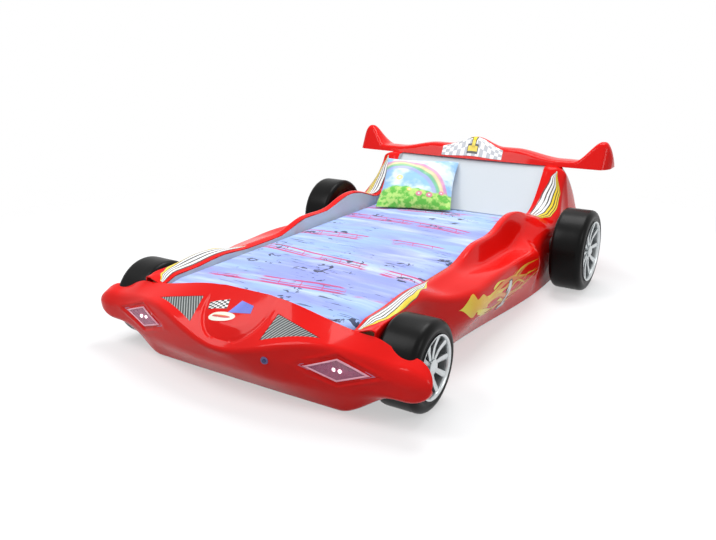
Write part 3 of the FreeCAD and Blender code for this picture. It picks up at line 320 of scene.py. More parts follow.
@dataclass(frozen=True)
class MouldedGloss(Finish):
    """Glossy thermoformed plastic: clear, slightly wavy, with a little dust in it."""

    roughness: float = 0.2
    wave: float = 0.0008

    def make(self, paint: Paint) -> bpy.types.Material:
        """Colour drifts a little, and the surface ripples as a moulding does."""
        colour = paint.mix(self.colour, toned(self.colour, 0.8), paint.cloud(2.2, 2).ramp(0.5, 0.85))
        dust = paint.cloud(180, 4).ramp(0.68, 0.8)
        paint.relief(paint.cloud(16, 2) + paint.cloud(420, 2) * 0.03, 0.3, self.wave)
        return paint.finish(colour, dust * 0.12 + self.roughness,
                            Specular_IOR_Level=0.04, Coat_Weight=0.2, Coat_Roughness=0.04)


@dataclass(frozen=True)
class MattePlastic(Finish):
    """Moulded plastic with a fine spark-eroded grain."""

    roughness: float = 0.5

    def make(self, paint: Paint) -> bpy.types.Material:
        """Fine grain and a faint colour drift."""
        grain = paint.cloud(900, 3)
        paint.relief(grain, 0.25, 0.0003)
        lighter = toned(self.colour, 1.3, 0.01)
        return paint.finish(paint.mix(self.colour, lighter, paint.cloud(14, 3).ramp(0.45, 0.8)),
                            grain * 0.15 + self.roughness)


@dataclass(frozen=True)
class Laminate(Finish):
    """Laminated chipboard with a faint pearl print."""

    def make(self, paint: Paint) -> bpy.types.Material:
        """Fine pearl in the colour and a lightly structured gloss."""
        pearl = paint.cloud(1400, 2)
        lighter = toned(self.colour, 1.08, 0.01)
        paint.relief(pearl, 0.15, 0.0002)
        return paint.finish(paint.mix(self.colour, lighter, pearl.ramp(0.4, 0.65)), pearl * 0.1 + 0.38)


@dataclass(frozen=True)
class PlanedWood(Finish):
    """Softwood or plywood with grain along one axis."""

    along: Triple = (1, 0.06, 1)
    rings: float = 38.0

    def make(self, paint: Paint) -> bpy.types.Material:
        """Growth lines stretched along the piece, with pores."""
        streak = paint.cloud(self.rings, 4, self.along, 0.6)
        pores = paint.cloud(self.rings * 9, 2, self.along)
        paint.relief(streak + pores * 0.4, 0.3, 0.0004)
        colour = paint.mix(self.colour, toned(self.colour, 0.62), streak.ramp(0.42, 0.7))
        return paint.finish(colour, pores * 0.15 + 0.55)


@dataclass(frozen=True)
class BareMetal(Finish):
    """Zinc-plated or silver-painted metal."""

    roughness: float = 0.3
    metallic: float = 1.0

    def make(self, paint: Paint) -> bpy.types.Material:
        """Fine sparkle in the roughness, and a dull patch here and there."""
        sparkle = paint.cloud(700, 2)
        colour = paint.mix(self.colour, toned(self.colour, 0.7), paint.cloud(30, 3).ramp(0.55, 0.85))
        paint.relief(sparkle, 0.12, 0.0002)
        return paint.finish(colour, sparkle * 0.15 + self.roughness, Metallic=self.metallic)


@dataclass(frozen=True)
class WheelBlack(Finish):
    """The tyre's satin black."""

    def make(self, paint: Paint) -> bpy.types.Material:
        """Satin black whose gloss varies in soft patches."""
        patches = paint.cloud(9, 3)
        fine = paint.cloud(320, 3)
        grey = toned(self.colour, 2.2, 0.002)
        paint.relief(patches * 0.7 + fine * 0.12, 0.3, 0.0012)
        return paint.finish(paint.mix(self.colour, grey, fine.ramp(0.6, 0.85)), patches * 0.16 + 0.26,
                            Specular_IOR_Level=0.1, Coat_Weight=0.02, Coat_Roughness=0.15)


@dataclass(frozen=True)
class WovenFabric(Finish):
    """Plain woven cloth of one colour."""

    threads: float = 1400.0

    def make(self, paint: Paint) -> bpy.types.Material:
        """Warp and weft as crossed waves."""
        x, y, z = paint.place()
        warp = ((x + z * 0.7) * self.threads).sine()
        weft = ((y + z * 0.7) * self.threads).sine()
        paint.relief(warp.high(weft), 0.2, 0.0003)
        colour = paint.mix(self.colour, toned(self.colour, 0.85), paint.cloud(60, 3).ramp(0.5, 0.8))
        return paint.finish(colour, 0.9)


@dataclass(frozen=True)
class LampCover(Finish):
    """Translucent moulded lamp cover with fine upright ribs and painted highlights along them."""

    def make(self, paint: Paint) -> bpy.types.Material:
        """A tinted, half-clear plastic, painted lighter along each rib's crest as a highlight."""
        x, _, _ = paint.place()
        ribs = (x * 1500).sine()
        paint.relief(ribs, 0.2, 0.0004)
        # painted highlight: the colour is made lighter along the crest of each rib
        colour = paint.mix(self.colour, toned(self.colour, 1.25, 0.1), ribs.ramp(0.2, 1.0) * 0.25)
        return paint.finish(colour, 0.15, Alpha=0.5, Coat_Weight=0.5)


@dataclass(frozen=True)
class GlowingDot(Finish):
    """A lit lamp."""

    def make(self, paint: Paint) -> bpy.types.Material:
        """White plastic, flecked whiter here and there, that shines evenly."""
        return paint.finish(paint.mix(self.colour, (1, 1, 1), paint.cloud(300, 2)), 0.3,
                            Emission_Color=(1.0, 0.9, 0.93), Emission_Strength=6.0)


@dataclass(frozen=True)
class RibbedGrille(Finish):
    """Dark grille insert with pale slanted ribs printed and pressed across it."""

    rib: Colour = (0.5, 0.53, 0.52)

    def make(self, paint: Paint) -> bpy.types.Material:
        """Slanted ribs from the distance across them."""
        x, y, _ = paint.place()
        slant = math.radians(40)
        ribs = ((abs(x) * round(math.cos(slant), 3) - y * round(math.sin(slant), 3)) * 720).sine()
        mask = ribs.ramp(0.35, 0.85)
        paint.relief(ribs, 0.5, 0.001)
        return paint.finish(paint.mix(self.colour, self.rib, mask), mask * -0.1 + 0.42)


@dataclass(frozen=True)
class StripeSticker(Finish):
    """Printed vinyl with stripes across its V, each given by its end and colour."""

    stripes: tuple[tuple[float, Colour], ...] = ()

    def make(self, paint: Paint) -> bpy.types.Material:
        """Steps from stripe to stripe."""
        _, v = paint.patch()
        colour: object = self.stripes[0][1]
        for (end, _), (_, following) in zip(self.stripes, self.stripes[1:]):
            colour = paint.mix(colour, following, v.ramp(end - 0.006, end + 0.006))
        return paint.finish(colour, paint.cloud(200, 3) * 0.1 + 0.22, Coat_Weight=0.4)


@dataclass(frozen=True)
class CheckSticker(Finish):
    """Printed vinyl with a checked pattern on its UV."""

    other: Colour = (0.9, 0.9, 0.9)
    columns: float = 7.0
    rows: float = 5.0
    wave: float = 0.0

    def make(self, paint: Paint) -> bpy.types.Material:
        """Squares from the parity of column plus row."""
        u, v = paint.patch()
        wavy = v + (u * 7).sine() * self.wave
        count = (u * self.columns).whole() + (wavy * self.rows).whole()
        odd = (count / 2).fraction().above(0.25)
        return paint.vinyl(paint.mix(self.colour, self.other, odd))


@dataclass(frozen=True)
class FlatSticker(Finish):
    """Printed vinyl of one ink over another towards its edge."""

    edge: Colour = (0.9, 0.6, 0.02)

    def make(self, paint: Paint) -> bpy.types.Material:
        """The ink turns into its edge colour along the U of the sticker."""
        u, _ = paint.patch()
        return paint.vinyl(paint.mix(self.edge, self.colour, u.ramp(0.05, 0.5)))


@dataclass(frozen=True)
class PrintedSheet(Finish):
    """Cotton with a washed blue and lilac print, pink brush lines and small dark dabs."""

    lilac: Colour = (0.27, 0.29, 0.74)
    pale: Colour = (0.74, 0.85, 0.97)
    pink: Colour = (0.6, 0.03, 0.17)
    ink: Colour = (0.015, 0.02, 0.06)
    lines: tuple[Pair, ...] = ((-0.72, 0.2), (-0.42, -0.25), (-0.08, 0.1), (0.24, -0.15), (0.5, 0.22))

    def make(self, paint: Paint) -> bpy.types.Material:
        """Washes first, then the pairs of pink lines with ticks between them, then the dabs."""
        x, y, _ = paint.place()
        wash = paint.cloud(3.0, 4, (0.5, 1.9, 1), 0.9)
        colour = paint.mix(self.colour, self.lilac, wash.ramp(0.36, 0.66) * 0.75)
        colour = paint.mix(colour, self.pale, paint.cloud(4.2, 5, (0.4, 2.1, 1), 0.6).ramp(0.5, 0.82) * 0.85)
        streaks = paint.cloud(22, 4, (0.14, 1, 1), 0.4)
        colour = paint.mix(colour, self.pale, streaks.ramp(0.5, 0.75) * 0.4)
        colour = paint.mix(colour, self.lilac, paint.cloud(17, 3, (0.1, 1.3, 1)).ramp(0.56, 0.74) * 0.5)
        drift = paint.cloud(2.4, 1) * 0.05
        for level, slope in self.lines:
            path = y - x * slope * 0.5 - drift - level
            rail = path.band(0.026, 0.0065).high(path.band(-0.026, 0.0075)).high(path.band(-0.006, 0.0036))
            tick = ((x + y * 0.4) * 11).fraction().band(0.5, 0.02, 0.012) * abs(path).below(0.021)
            broken = paint.cloud(5, 2).ramp(0.4, 0.48)
            colour = paint.mix(colour, self.pink, rail.high(tick * 0.8) * broken * 0.9)
        spread = paint.cloud(4.5, 1).ramp(0.44, 0.52)
        ragged = paint.cloud(34, 4, (0.9, 1.0, 1), 0.9).ramp(0.52, 0.55)
        dabs = paint.cells(8, (1.1, 1.5, 1)).below(0.34) * ragged
        colour = paint.mix(colour, self.ink, dabs * spread * 0.92)
        flecks = paint.cloud(52, 3, (0.2, 1.7, 1), 0.7).ramp(0.62, 0.66) * paint.cloud(6, 1).ramp(0.46, 0.54)
        colour = paint.mix(colour, self.ink, flecks * 0.8)
        weave = ((x * 4200).sine()).high((y * 4200).sine())
        paint.relief(weave * 0.15 + paint.cloud(30, 3), 0.35, 0.0012)
        return paint.finish(colour, 0.85, Sheen_Weight=0.2)


@dataclass(frozen=True)
class PrintedPillow(Finish):
    """Cotton with a plain meadow print: sky, a pale rainbow, grass and round flowers; reads the UV."""

    grass: Colour = (0.13, 0.52, 0.06)
    lilac: Colour = (0.4, 0.38, 0.75)
    pale: Colour = (0.75, 0.88, 0.95)
    flower: Colour = (0.82, 0.16, 0.36)
    sun: Colour = (0.95, 0.72, 0.2)
    flowers: tuple[Triple, ...] = ((0.56, 0.2, 0.05), (0.7, 0.19, 0.05), (0.86, 0.24, 0.04))
    suns: tuple[Triple, ...] = ((0.42, 0.27, 0.035), (0.25, 0.5, 0.055))

    def make(self, paint: Paint) -> bpy.types.Material:
        """Sky and clouds, bows of a rainbow, then grass with flowers along its edge."""
        u, v = paint.patch()
        colour = paint.mix(self.colour, self.pale, paint.cloud(9, 4).ramp(0.45, 0.62))
        reach = ((u - 0.15).power(2) + (v - 0.1).power(2)).power(0.5)
        for index, tint in enumerate((self.flower, self.sun, self.grass, self.lilac)):
            colour = paint.mix(colour, tint, reach.band(0.78 - index * 0.05, 0.02, 0.02) * 0.65)
        hill = v - (u * 5.5).sine() * 0.045 - paint.cloud(24, 3) * 0.12
        grass = paint.mix(self.grass, (0.5, 0.78, 0.2), paint.cloud(40, 3).ramp(0.4, 0.6))
        colour = paint.mix(colour, grass, 1 - hill.ramp(0.2, 0.25))
        rounds = [(*spot, self.flower) for spot in self.flowers] + [(*spot, self.sun) for spot in self.suns]
        for across, up, size, tint in rounds:
            gap = ((u - across).power(2) + (v - up).power(2)).power(0.5)
            colour = paint.mix(colour, tint, (1 - gap.ramp(size * 0.8, size)) * 0.8)
            colour = paint.mix(colour, self.pale, (1 - gap.ramp(size * 0.25, size * 0.35)) * 0.8)
        x, y, z = paint.place()
        weave = (x * 3600).sine().high(((y + z) * 3600).sine())
        paint.relief(weave * 0.15 + paint.cloud(40, 3), 0.3, 0.0012)
        return paint.finish(colour, 0.85, Sheen_Weight=0.2)


WHITE: Colour = (0.9, 0.9, 0.88)
BLACK: Colour = (0.008, 0.008, 0.008)
YELLOW: Colour = (0.92, 0.68, 0.01)
DARK_RED: Colour = (0.22, 0.01, 0.015)

RED = MouldedGloss("red_moulding", "red_shell", (0.78, 0.006, 0.004))
GREY_BOARD = Laminate("light_grey_laminate", "board_grey", (0.57, 0.61, 0.64))
BLACK_BOARD = Laminate("black_laminate", "board_black", (0.02, 0.02, 0.022))
SLAT = PlanedWood("slat_pine", "slat_wood", (0.66, 0.45, 0.24))
RAIL = PlanedWood("rail_pine", "slat_wood", (0.62, 0.42, 0.22))
PLYWOOD = PlanedWood("former_plywood", "plywood", (0.55, 0.38, 0.2), (1, 1, 0.08))
STEEL = BareMetal("zinc_screws", "screw_steel", (0.6, 0.6, 0.58), 0.35)
SILVER = BareMetal("silver_rim_paint", "rim_silver", (0.62, 0.65, 0.66), 0.22, 0.85)
TYRE = WheelBlack("tyre_satin_black", "tyre_black", (0.003, 0.003, 0.003))
WEBBING = WovenFabric("slat_webbing", "webbing", (0.62, 0.6, 0.54))
TICKING = WovenFabric("mattress_ticking", "mattress_foam", (0.86, 0.86, 0.82))
SHEET = PrintedSheet("printed_sheet", "sheet_print", (0.33, 0.5, 0.9))
PILLOW = PrintedPillow("printed_pillow", "pillow_print", (0.3, 0.55, 0.85))
COVER = LampCover("lamp_cover_pink", "lens_pink", (0.58, 0.16, 0.3))
COVER_RIM = MattePlastic("lamp_rim_pink", "lens_pink", (0.85, 0.42, 0.52), 0.25)
BOWL = MattePlastic("lamp_bowl", "bowl_pale", (0.55, 0.16, 0.28), 0.3)
GLOW = GlowingDot("lit_lamp", "lamp_white", (1.0, 0.95, 0.95))
BOARD_GREEN = MattePlastic("lamp_board", "lamp_board", (0.3, 0.05, 0.12), 0.5)
GRILLE = RibbedGrille("ribbed_grille", "grille_grey", (0.035, 0.045, 0.045))
BEZEL = MattePlastic("switch_ring", "bezel_pale", (0.12, 0.1, 0.26), 0.3)
BUTTON = MattePlastic("switch_button_blue", "button_blue", (0.01, 0.02, 0.12), 0.2)
NUT = MattePlastic("switch_nut_black", "nut_black", (0.02, 0.02, 0.02))
CASE = MattePlastic("battery_case", "box_black", (0.02, 0.02, 0.022))
CELL = BareMetal("battery_jacket", "cell_jacket", (0.1, 0.22, 0.13), 0.35, 0.6)
GLIDE = MattePlastic("floor_glide", "glide_nylon", (0.08, 0.08, 0.08))
SHOULDER_STRIPES = StripeSticker("shoulder_stripes", "red_shell", WHITE, (
    (0.06, DARK_RED), (0.11, BLACK), (0.27, WHITE), (0.35, BLACK), (0.5, WHITE), (0.58, BLACK), (0.7, WHITE),
    (0.77, BLACK), (0.97, YELLOW), (1.0, BLACK)))
TAIL_STRIPES = StripeSticker("tail_stripes", "red_shell", WHITE, (
    (0.05, DARK_RED), (0.1, BLACK), (0.25, WHITE), (0.32, BLACK), (0.44, WHITE), (0.5, BLACK), (0.6, WHITE),
    (0.655, BLACK), (0.76, YELLOW), (0.81, BLACK), (0.89, YELLOW), (0.93, BLACK), (0.98, YELLOW),
    (1.0, BLACK)))
CHECKS = CheckSticker("check_flag", "red_shell", BLACK, WHITE, 7, 5, 0.04)
PALE_CHECKS = CheckSticker("pale_checks", "red_shell", (0.5, 0.51, 0.53), (0.97, 0.97, 0.95), 16, 4, 0.0)
BLUE_PENNANT = FlatSticker("blue_pennant", "red_shell", (0.07, 0.12, 0.62), (0.12, 0.18, 0.75))
PALE_OVAL = FlatSticker("pale_oval", "red_shell", (0.92, 0.9, 0.78), (0.9, 0.88, 0.7))
RED_BAR = FlatSticker("red_bar", "red_shell", (0.7, 0.02, 0.03), (0.75, 0.3, 0.02))
GOLD = FlatSticker("gold_flame", "red_shell", (0.86, 0.5, 0.02), (0.9, 0.78, 0.06))
ORANGE = FlatSticker("orange_flame", "red_shell", (0.8, 0.2, 0.01), (0.9, 0.55, 0.03))
WHITE_INK = FlatSticker("white_ink", "red_shell", WHITE, WHITE)
BLACK_INK = FlatSticker("black_ink", "red_shell", BLACK, BLACK)
YELLOW_INK = FlatSticker("yellow_ink", "red_shell", YELLOW, YELLOW)


# ------------------------------------------------------------------ modelling


class Bench:
    """The few modelling steps that every piece of the bed is made with."""

    @staticmethod
    def clear() -> None:
        """Deselects everything, as an operator acts on all that is selected."""
        if bpy.context.object and bpy.context.object.mode != "OBJECT":
            bpy.ops.object.mode_set(mode="OBJECT")
        bpy.ops.object.select_all(action="DESELECT")

    @staticmethod
    def pick(*pieces: bpy.types.Object) -> None:
        """Selects just these pieces, the first one active."""
        Bench.clear()
        for piece in pieces:
            piece.select_set(True)
        bpy.context.view_layer.objects.active = pieces[0]

    @staticmethod
    def surface(name: str, rows: list[list[Vector]], outward: Vector, uv: bool = False) -> bpy.types.Object:
        """A grid whose points are moved onto equal rows of points, facing outwards.

        Args:
            name: the piece's name.
            rows: points in metres, as many in each row.
            outward: the way that the surface faces on the whole.
            uv: keeps the grid's own UV, with U along the rows and V across them.

        Returns:
            The new piece.
        """
        Bench.clear()
        long, wide = len(rows) - 1, len(rows[0]) - 1
        bpy.ops.mesh.primitive_grid_add(x_subdivisions=long, y_subdivisions=wide, size=2, calc_uvs=uv)
        piece = bpy.context.object
        piece.name = name
        for vertex in piece.data.vertices:
            row, column = round((vertex.co.x + 1) / 2 * long), round((vertex.co.y + 1) / 2 * wide)
            vertex.co = rows[row][column]
        piece.data.update()
        facing = sum((face.normal * face.area for face in piece.data.polygons), Vector())
        if facing.dot(outward) < 0:
            piece.data.flip_normals()
        return piece

    @staticmethod
    def shell(name: str, rows: list[list[Vector]], outward: Vector, wall: float,
              weld: bool = False) -> bpy.types.Object:
        """A surface with a wall grown inwards, smoothly shaded.

        Args:
            name: the piece's name.
            rows: the outer surface's points.
            outward: the way that the surface faces on the whole.
            wall: the wall's thickness in mm.
            weld: merges the doubled points where the rows close on themselves.

        Returns:
            The new piece.
        """
        piece = Bench.surface(name, rows, outward)
        Bench.modifier(piece, "SOLIDIFY", thickness=wall / 1000, offset=-1)
        if weld:
            Bench.weld(piece)
        Bench.shade(piece, 50)
        return piece

    @staticmethod
    def sticker(name: str, rows: list[list[Vector]], outward: Vector, finish: Finish) -> bpy.types.Object:
        """A printed sheet that follows the skin under it."""
        piece = Bench.surface(name, rows, outward, uv=True)
        Bench.shade(piece)
        Bench.finish(piece, finish)
        return piece

    @staticmethod
    def modifier(piece: bpy.types.Object, kind: str, **settings: object) -> None:
        """Adds a modifier with its settings and applies it."""
        Bench.pick(piece)
        made = piece.modifiers.new(kind.lower(), kind)
        for key, value in settings.items():
            setattr(made, key, value)
        bpy.ops.object.modifier_apply(modifier=made.name)

    @staticmethod
    def weld(piece: bpy.types.Object, gap: float = 0.00005) -> None:
        """Merges doubled points and turns every face outwards."""
        Bench.pick(piece)
        bpy.ops.object.mode_set(mode="EDIT")
        bpy.ops.mesh.select_all(action="SELECT")
        bpy.ops.mesh.remove_doubles(threshold=gap)
        bpy.ops.mesh.normals_make_consistent(inside=False)
        bpy.ops.object.mode_set(mode="OBJECT")

    @staticmethod
    def shade(piece: bpy.types.Object, degrees: float = 40) -> None:
        """Smooth shading, sharp past an angle."""
        Bench.pick(piece)
        bpy.ops.object.shade_smooth_by_angle(angle=math.radians(degrees))

    @staticmethod
    def spun(name: str, outline: Profile, centre: Vector, side: Side, steps: int = 96) -> bpy.types.Object:
        """A closed outline of (outward along X, radius) in mm spun about a wheel's axis.

        Args:
            name: the piece's name.
            outline: the closed outline's points.
            centre: the axis's inner point in metres.
            side: which side of the bed the piece is on.
            steps: how many flats make the turn.

        Returns:
            The new piece.
        """
        Bench.clear()
        bpy.ops.mesh.primitive_circle_add(vertices=len(outline), radius=1)
        piece = bpy.context.object
        piece.name = name
        for vertex, (reach, radius) in zip(piece.data.vertices, outline):
            vertex.co = centre + Vector((side.value * reach / 1000, 0, radius / 1000))
        bpy.ops.object.mode_set(mode="EDIT")
        bpy.ops.mesh.select_all(action="SELECT")
        bpy.ops.mesh.spin(steps=steps, angle=math.tau, center=centre, axis=(1, 0, 0))
        bpy.ops.object.mode_set(mode="OBJECT")
        Bench.weld(piece)
        return piece

    @staticmethod
    def flat(name: str, points: Sequence[Vector]) -> bpy.types.Object:
        """A flat face from its corners, which starts as a circle of as many points."""
        Bench.clear()
        bpy.ops.mesh.primitive_circle_add(vertices=len(points), radius=1, fill_type="NGON", calc_uvs=True)
        piece = bpy.context.object
        piece.name = name
        for vertex, point in zip(piece.data.vertices, points):
            vertex.co = point
        piece.data.update()
        return piece

    @staticmethod
    def joined(name: str, pieces: list[bpy.types.Object]) -> bpy.types.Object:
        """Joins pieces into the first one."""
        Bench.pick(*pieces)
        bpy.ops.object.join()
        result = bpy.context.object
        result.name = name
        return result

    @staticmethod
    def finish(piece: bpy.types.Object, finish: Finish, body: str = "bed", nodes: Sequence[str] = ()) -> None:
        """Gives a piece its finish, lets it ride on its body and stand for its CAD nodes."""
        piece.data.materials.clear()
        piece.data.materials.append(finish.material())
        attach(piece, body)
        if nodes:
            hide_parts(*nodes)
        LOG.info("made %s: %d faces", piece.name, len(piece.data.polygons))

    @staticmethod
    def dress(node: str, finish: Finish) -> None:
        """Gives a CAD node its finish."""
        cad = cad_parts[node]
        cad.data.materials.clear()
        cad.data.materials.append(finish.material())
        LOG.info("dressed %s", node)


def rounded(corners: Profile, blends: Sequence[float], flats: int, fills: Sequence[int]) -> Profile:
    """Turns each corner with a curve and divides the straight runs.

    Args:
        corners: (across, up) points in mm.
        blends: each corner's blend length; 0 keeps it sharp.
        flats: how many flats make a curve.
        fills: how many points divide the run after each corner.

    Returns:
        The open line's points, the same number at every station.
    """
    points: list[Vector] = []
    spots = [Vector(corner) for corner in corners]
    for index, spot in enumerate(spots):
        last = index == len(spots) - 1
        if index == 0 or last or not blends[index]:
            points.append(spot)
        else:
            before, after = spots[index - 1] - spot, spots[index + 1] - spot
            blend = min(blends[index], 0.45 * before.length, 0.45 * after.length)
            start, end = spot + before.normalized() * blend, spot + after.normalized() * blend
            for step in range(flats + 1):
                share = step / flats
                points.append(start * (1 - share) ** 2 + spot * 2 * share * (1 - share) + end * share ** 2)
        if not last:
            points.append(Vector((math.nan, fills[index])))
    line: Profile = []
    for index, point in enumerate(points):
        if not math.isnan(point.x):
            line.append((point.x, point.y))
            continue
        start, end, count = points[index - 1], points[index + 1], int(point.y)
        line += [tuple(start.lerp(end, step / (count + 1))) for step in range(1, count + 1)]
    return line


# ------------------------------------------------------------------ the bed's sub-assemblies


@dataclass
class SideSkin:
    """One moulded side: rim, humps, pod, bay and swept tail. Sizes in mm."""

    side: Side
    inner: float = 405.0
    seat: float = 497.0
    front: float = -13.0
    back: float = 1990.0
    floor_gap: float = 6.0
    flank_level: float = 165.0
    lip_run: float = 28.0
    lip_rise: float = 8.0
    shelf_run: float = 65.0
    shelf_rise: float = 25.0
    edge_rise: float = 18.0
    edge_drop: float = 7.0
    wall: float = 4.0
    tail_start: float = 1480.0
    tail_run: float = 280.0
    tail_rise: float = 218.0
    tail_foot: float = 230.0
    rim_turn: float = 155.0
    edge_turn: float = 235.0
    rim: Curve = Curve(259, ((20, -13, 70),), ((11, 310, 170), (43, 890, 230), (84, 1265, 380)))
    shelf: Curve = Curve(281, ((27, 40, 240), (-38, 300, 450), (-34, 600, 930), (75, 1120, 1420)))
    shoulder: Curve = Curve(488, ((86, 235, 600), (-30, 1225, 1290)))
    edge: Curve = Curve(288, ((-43, 230, 520), (-18, 1000, 1260), (40, 1290, 1480)), ((12, 830, 250),))
    pinch: Curve = Curve(0, ((34, 1600, 1760),))
    end_turn: Curve = Curve(0, ((22, 1946, 1990),))
    flare: Curve = Curve(-10, ((24, 235, 600),))
    foot: Curve = Curve(470, ((85, 480, 1400),))
    foot_level: Curve = Curve(118, ((-112, 5, 62),))
    blends: tuple[float, ...] = (0, 14, 26, 24, 50, 0)
    fills: tuple[int, ...] = (2, 4, 5, 5, 8)
    former_places: tuple[int, ...] = (15, 420, 800, 1180, 1340, 1680)
    former_inner: float = 424.0
    former_gap: float = 12.0
    former_thick: float = 15.0
    tongues: tuple[tuple[float, ...], ...] = (
        (520, 1235, 176, 122, 19, 22), (500, 1180, 203, 178, 16, -16), (560, 1090, 150, 98, 15, 14),
        (640, 1225, 188, 206, 9, 12), (760, 1010, 138, 86, 8, -10), (820, 1150, 160, 150, 9, 18),
        (700, 960, 214, 212, 7, 8), (900, 1210, 130, 176, 7, -14), (600, 900, 128, 92, 8, 9))
    cores: tuple[tuple[float, ...], ...] = (
        (610, 1130, 168, 124, 9, 20), (600, 1080, 202, 184, 8, -14), (700, 1160, 186, 200, 5, 10))

    @property
    def outward(self) -> Vector:
        """The way that the flank faces."""
        return Vector((self.side.value, 0, 0))

    def named(self, name: str) -> str:
        """A piece's name with its side."""
        return f"{name}_{self.side.word}"

    def tail_edge(self, y: float, run: float) -> float:
        """Height of the tail's swept back edge."""
        return self.tail_foot + (self.seat - self.tail_foot) * math.sqrt(max(0.0, (self.back - y) / run))

    def sweep(self, y: float, late: float, power: float) -> float:
        """How much the tail has risen at a place."""
        return self.tail_rise * max(0.0, (y - self.tail_start - late) / self.tail_run) ** power

    def rim_level(self, y: float) -> float:
        """Height of the skin's inner edge."""
        return min(self.rim.at(y) + self.sweep(y, 0, 1.83), self.seat, self.tail_edge(y, self.rim_turn))

    def shelf_level(self, y: float) -> float:
        """Height one shelf's run out from the rim: flat over the wheels, a valley along the pod."""
        tail = smooth(y, self.tail_start - 60, self.tail_start + 40)
        return min(self.shelf.at(y) * (1 - tail) + self.rim_level(y) * tail, self.rim_level(y) + self.shelf_rise)

    def corners(self, y: float) -> Profile:
        """The profile's corners from the rim out and down to the foot."""
        rim, end = self.rim_level(y), self.end_turn.at(y)
        across = self.shoulder.at(y) - end
        ceiling = min(self.seat, self.tail_edge(y, self.edge_turn)) - self.edge_drop
        edge = min(self.edge.at(y) + self.sweep(y, 20, 2.23), ceiling, rim + self.edge_rise)
        return [
            (self.inner, rim),
            (self.inner + self.lip_run, min(rim + self.lip_rise, self.seat)),
            (self.inner + self.shelf_run, min(self.shelf_level(y), self.seat)),
            (across - self.pinch.at(y), edge),
            (across + self.flare.at(y), self.flank_level),
            (self.foot.at(y) - end, self.foot_level.at(y)),
        ]

    def profile(self, y: float) -> Profile:
        """The finished line at one station."""
        return rounded(self.corners(y), self.blends, 7, self.fills)

    def stations(self) -> list[float]:
        """Places along the bed, closer where the skin turns."""
        pod, tail, turn = 600.0, self.tail_start, 1830.0
        line = spaced(self.front, pod, 48)[:-1] + spaced(pod, tail, 60)[:-1] + spaced(tail, turn, 32)[:-1]
        return line + [self.back - (self.back - turn) * (1 - share) ** 1.6 for share in spaced(0, 1, 18)]

    def build(self) -> bpy.types.Object:
        """Makes the skin with its closed back end and its wall."""
        rows = [[frame_point(self.side.value * x, y, z) for x, z in self.profile(y)] for y in self.stations()]
        last = self.profile(self.back)
        for share in (0.98, 0.5, 0.01):
            rows.append([frame_point(self.side.value * (self.inner + (x - self.inner) * share), self.back,
                                     self.floor_gap + (z - self.floor_gap) * share) for x, z in last])
        skin = Bench.shell(self.named("side_skin"), rows, Vector((self.side.value * 0.5, 0, 1)), self.wall)
        Bench.finish(skin, RED, nodes=[self.named("side_shell")])
        return skin

    def formers(self) -> None:
        """Plywood plates that stand inside the skin, clear of its curves."""
        plates, inner, gap = [], self.former_inner, self.former_gap
        for y in self.former_places:
            line = [(x, z) for x, z in self.profile(y) if x > self.inner + 20]
            outline = [(inner, gap), (inner, min(line[0][1], self.rim_level(y)) - gap)]
            outline += [(max(inner, x - gap), max(gap, z - gap)) for x, z in line]
            plate = Bench.flat(f"former_{y}", [frame_point(self.side.value * x, y, z) for x, z in outline])
            Bench.modifier(plate, "SOLIDIFY", thickness=self.former_thick / 1000, offset=0)
            plates.append(plate)
        piece = Bench.joined(self.named("formers"), plates)
        Bench.weld(piece)
        Bench.finish(piece, PLYWOOD, nodes=[self.named("side_formers")])

    def on_top(self, x: float, y: float, lift: float = 0.5) -> Vector:
        """The point of the skin's top over a place in plan."""
        line = self.profile(y)
        for (x_in, z_in), (x_out, z_out) in zip(line, line[1:]):
            if x_in <= x <= x_out and x_out > x_in:
                level = z_in + (z_out - z_in) * (x - x_in) / (x_out - x_in)
                return frame_point(self.side.value * x, y, level + lift)
        return frame_point(self.side.value * x, y, line[0][1] + lift)

    def on_flank(self, y: float, z: float, lift: float = 0.6) -> Vector:
        """The point of the skin's outer side at a height."""
        line = self.profile(y)
        outer = max(range(len(line)), key=lambda index: line[index][0])
        found = line[outer][0]
        for (x_top, z_top), (x_low, z_low) in zip(line[6:], line[7:]):
            if z_low <= z <= z_top and z_top > z_low and x_top > self.inner + 60:
                found = x_top + (x_low - x_top) * (z_top - z) / (z_top - z_low)
        return frame_point(self.side.value * (found + lift), y, z)

    def stripes(self) -> None:
        """Lays the printed stripes on the shoulder over the front wheel and up the tail."""
        self.leaf("shoulder_stripes", SHOULDER_STRIPES, spaced(0, 470, 60), ((0, 416), (90, 420), (470, 419)),
                  ((0, 430), (40, 462), (91, 482), (150, 486), (252, 482), (360, 462), (470, 422)))
        self.leaf("tail_stripes", TAIL_STRIPES, spaced(1474, 1752, 60),
                  ((1474, 434), (1567, 422), (1650, 432), (1724, 450), (1752, 470)),
                  ((1474, 437), (1530, 490), (1588, 514), (1639, 521), (1701, 513), (1752, 476)))

    def leaf(self, name: str, finish: Finish, places: list[float], inside: Sequence[Pair],
             outside: Sequence[Pair]) -> None:
        """A leaf-shaped sticker between two curves given as (along, across)."""
        rows = []
        for y in places:
            first, last = between(y, inside), between(y, outside)
            rows.append([self.on_top(x, y) for x in spaced(first, last, 16)])
        Bench.sticker(self.named(name), rows, Vector((0, 0, 1)), finish)

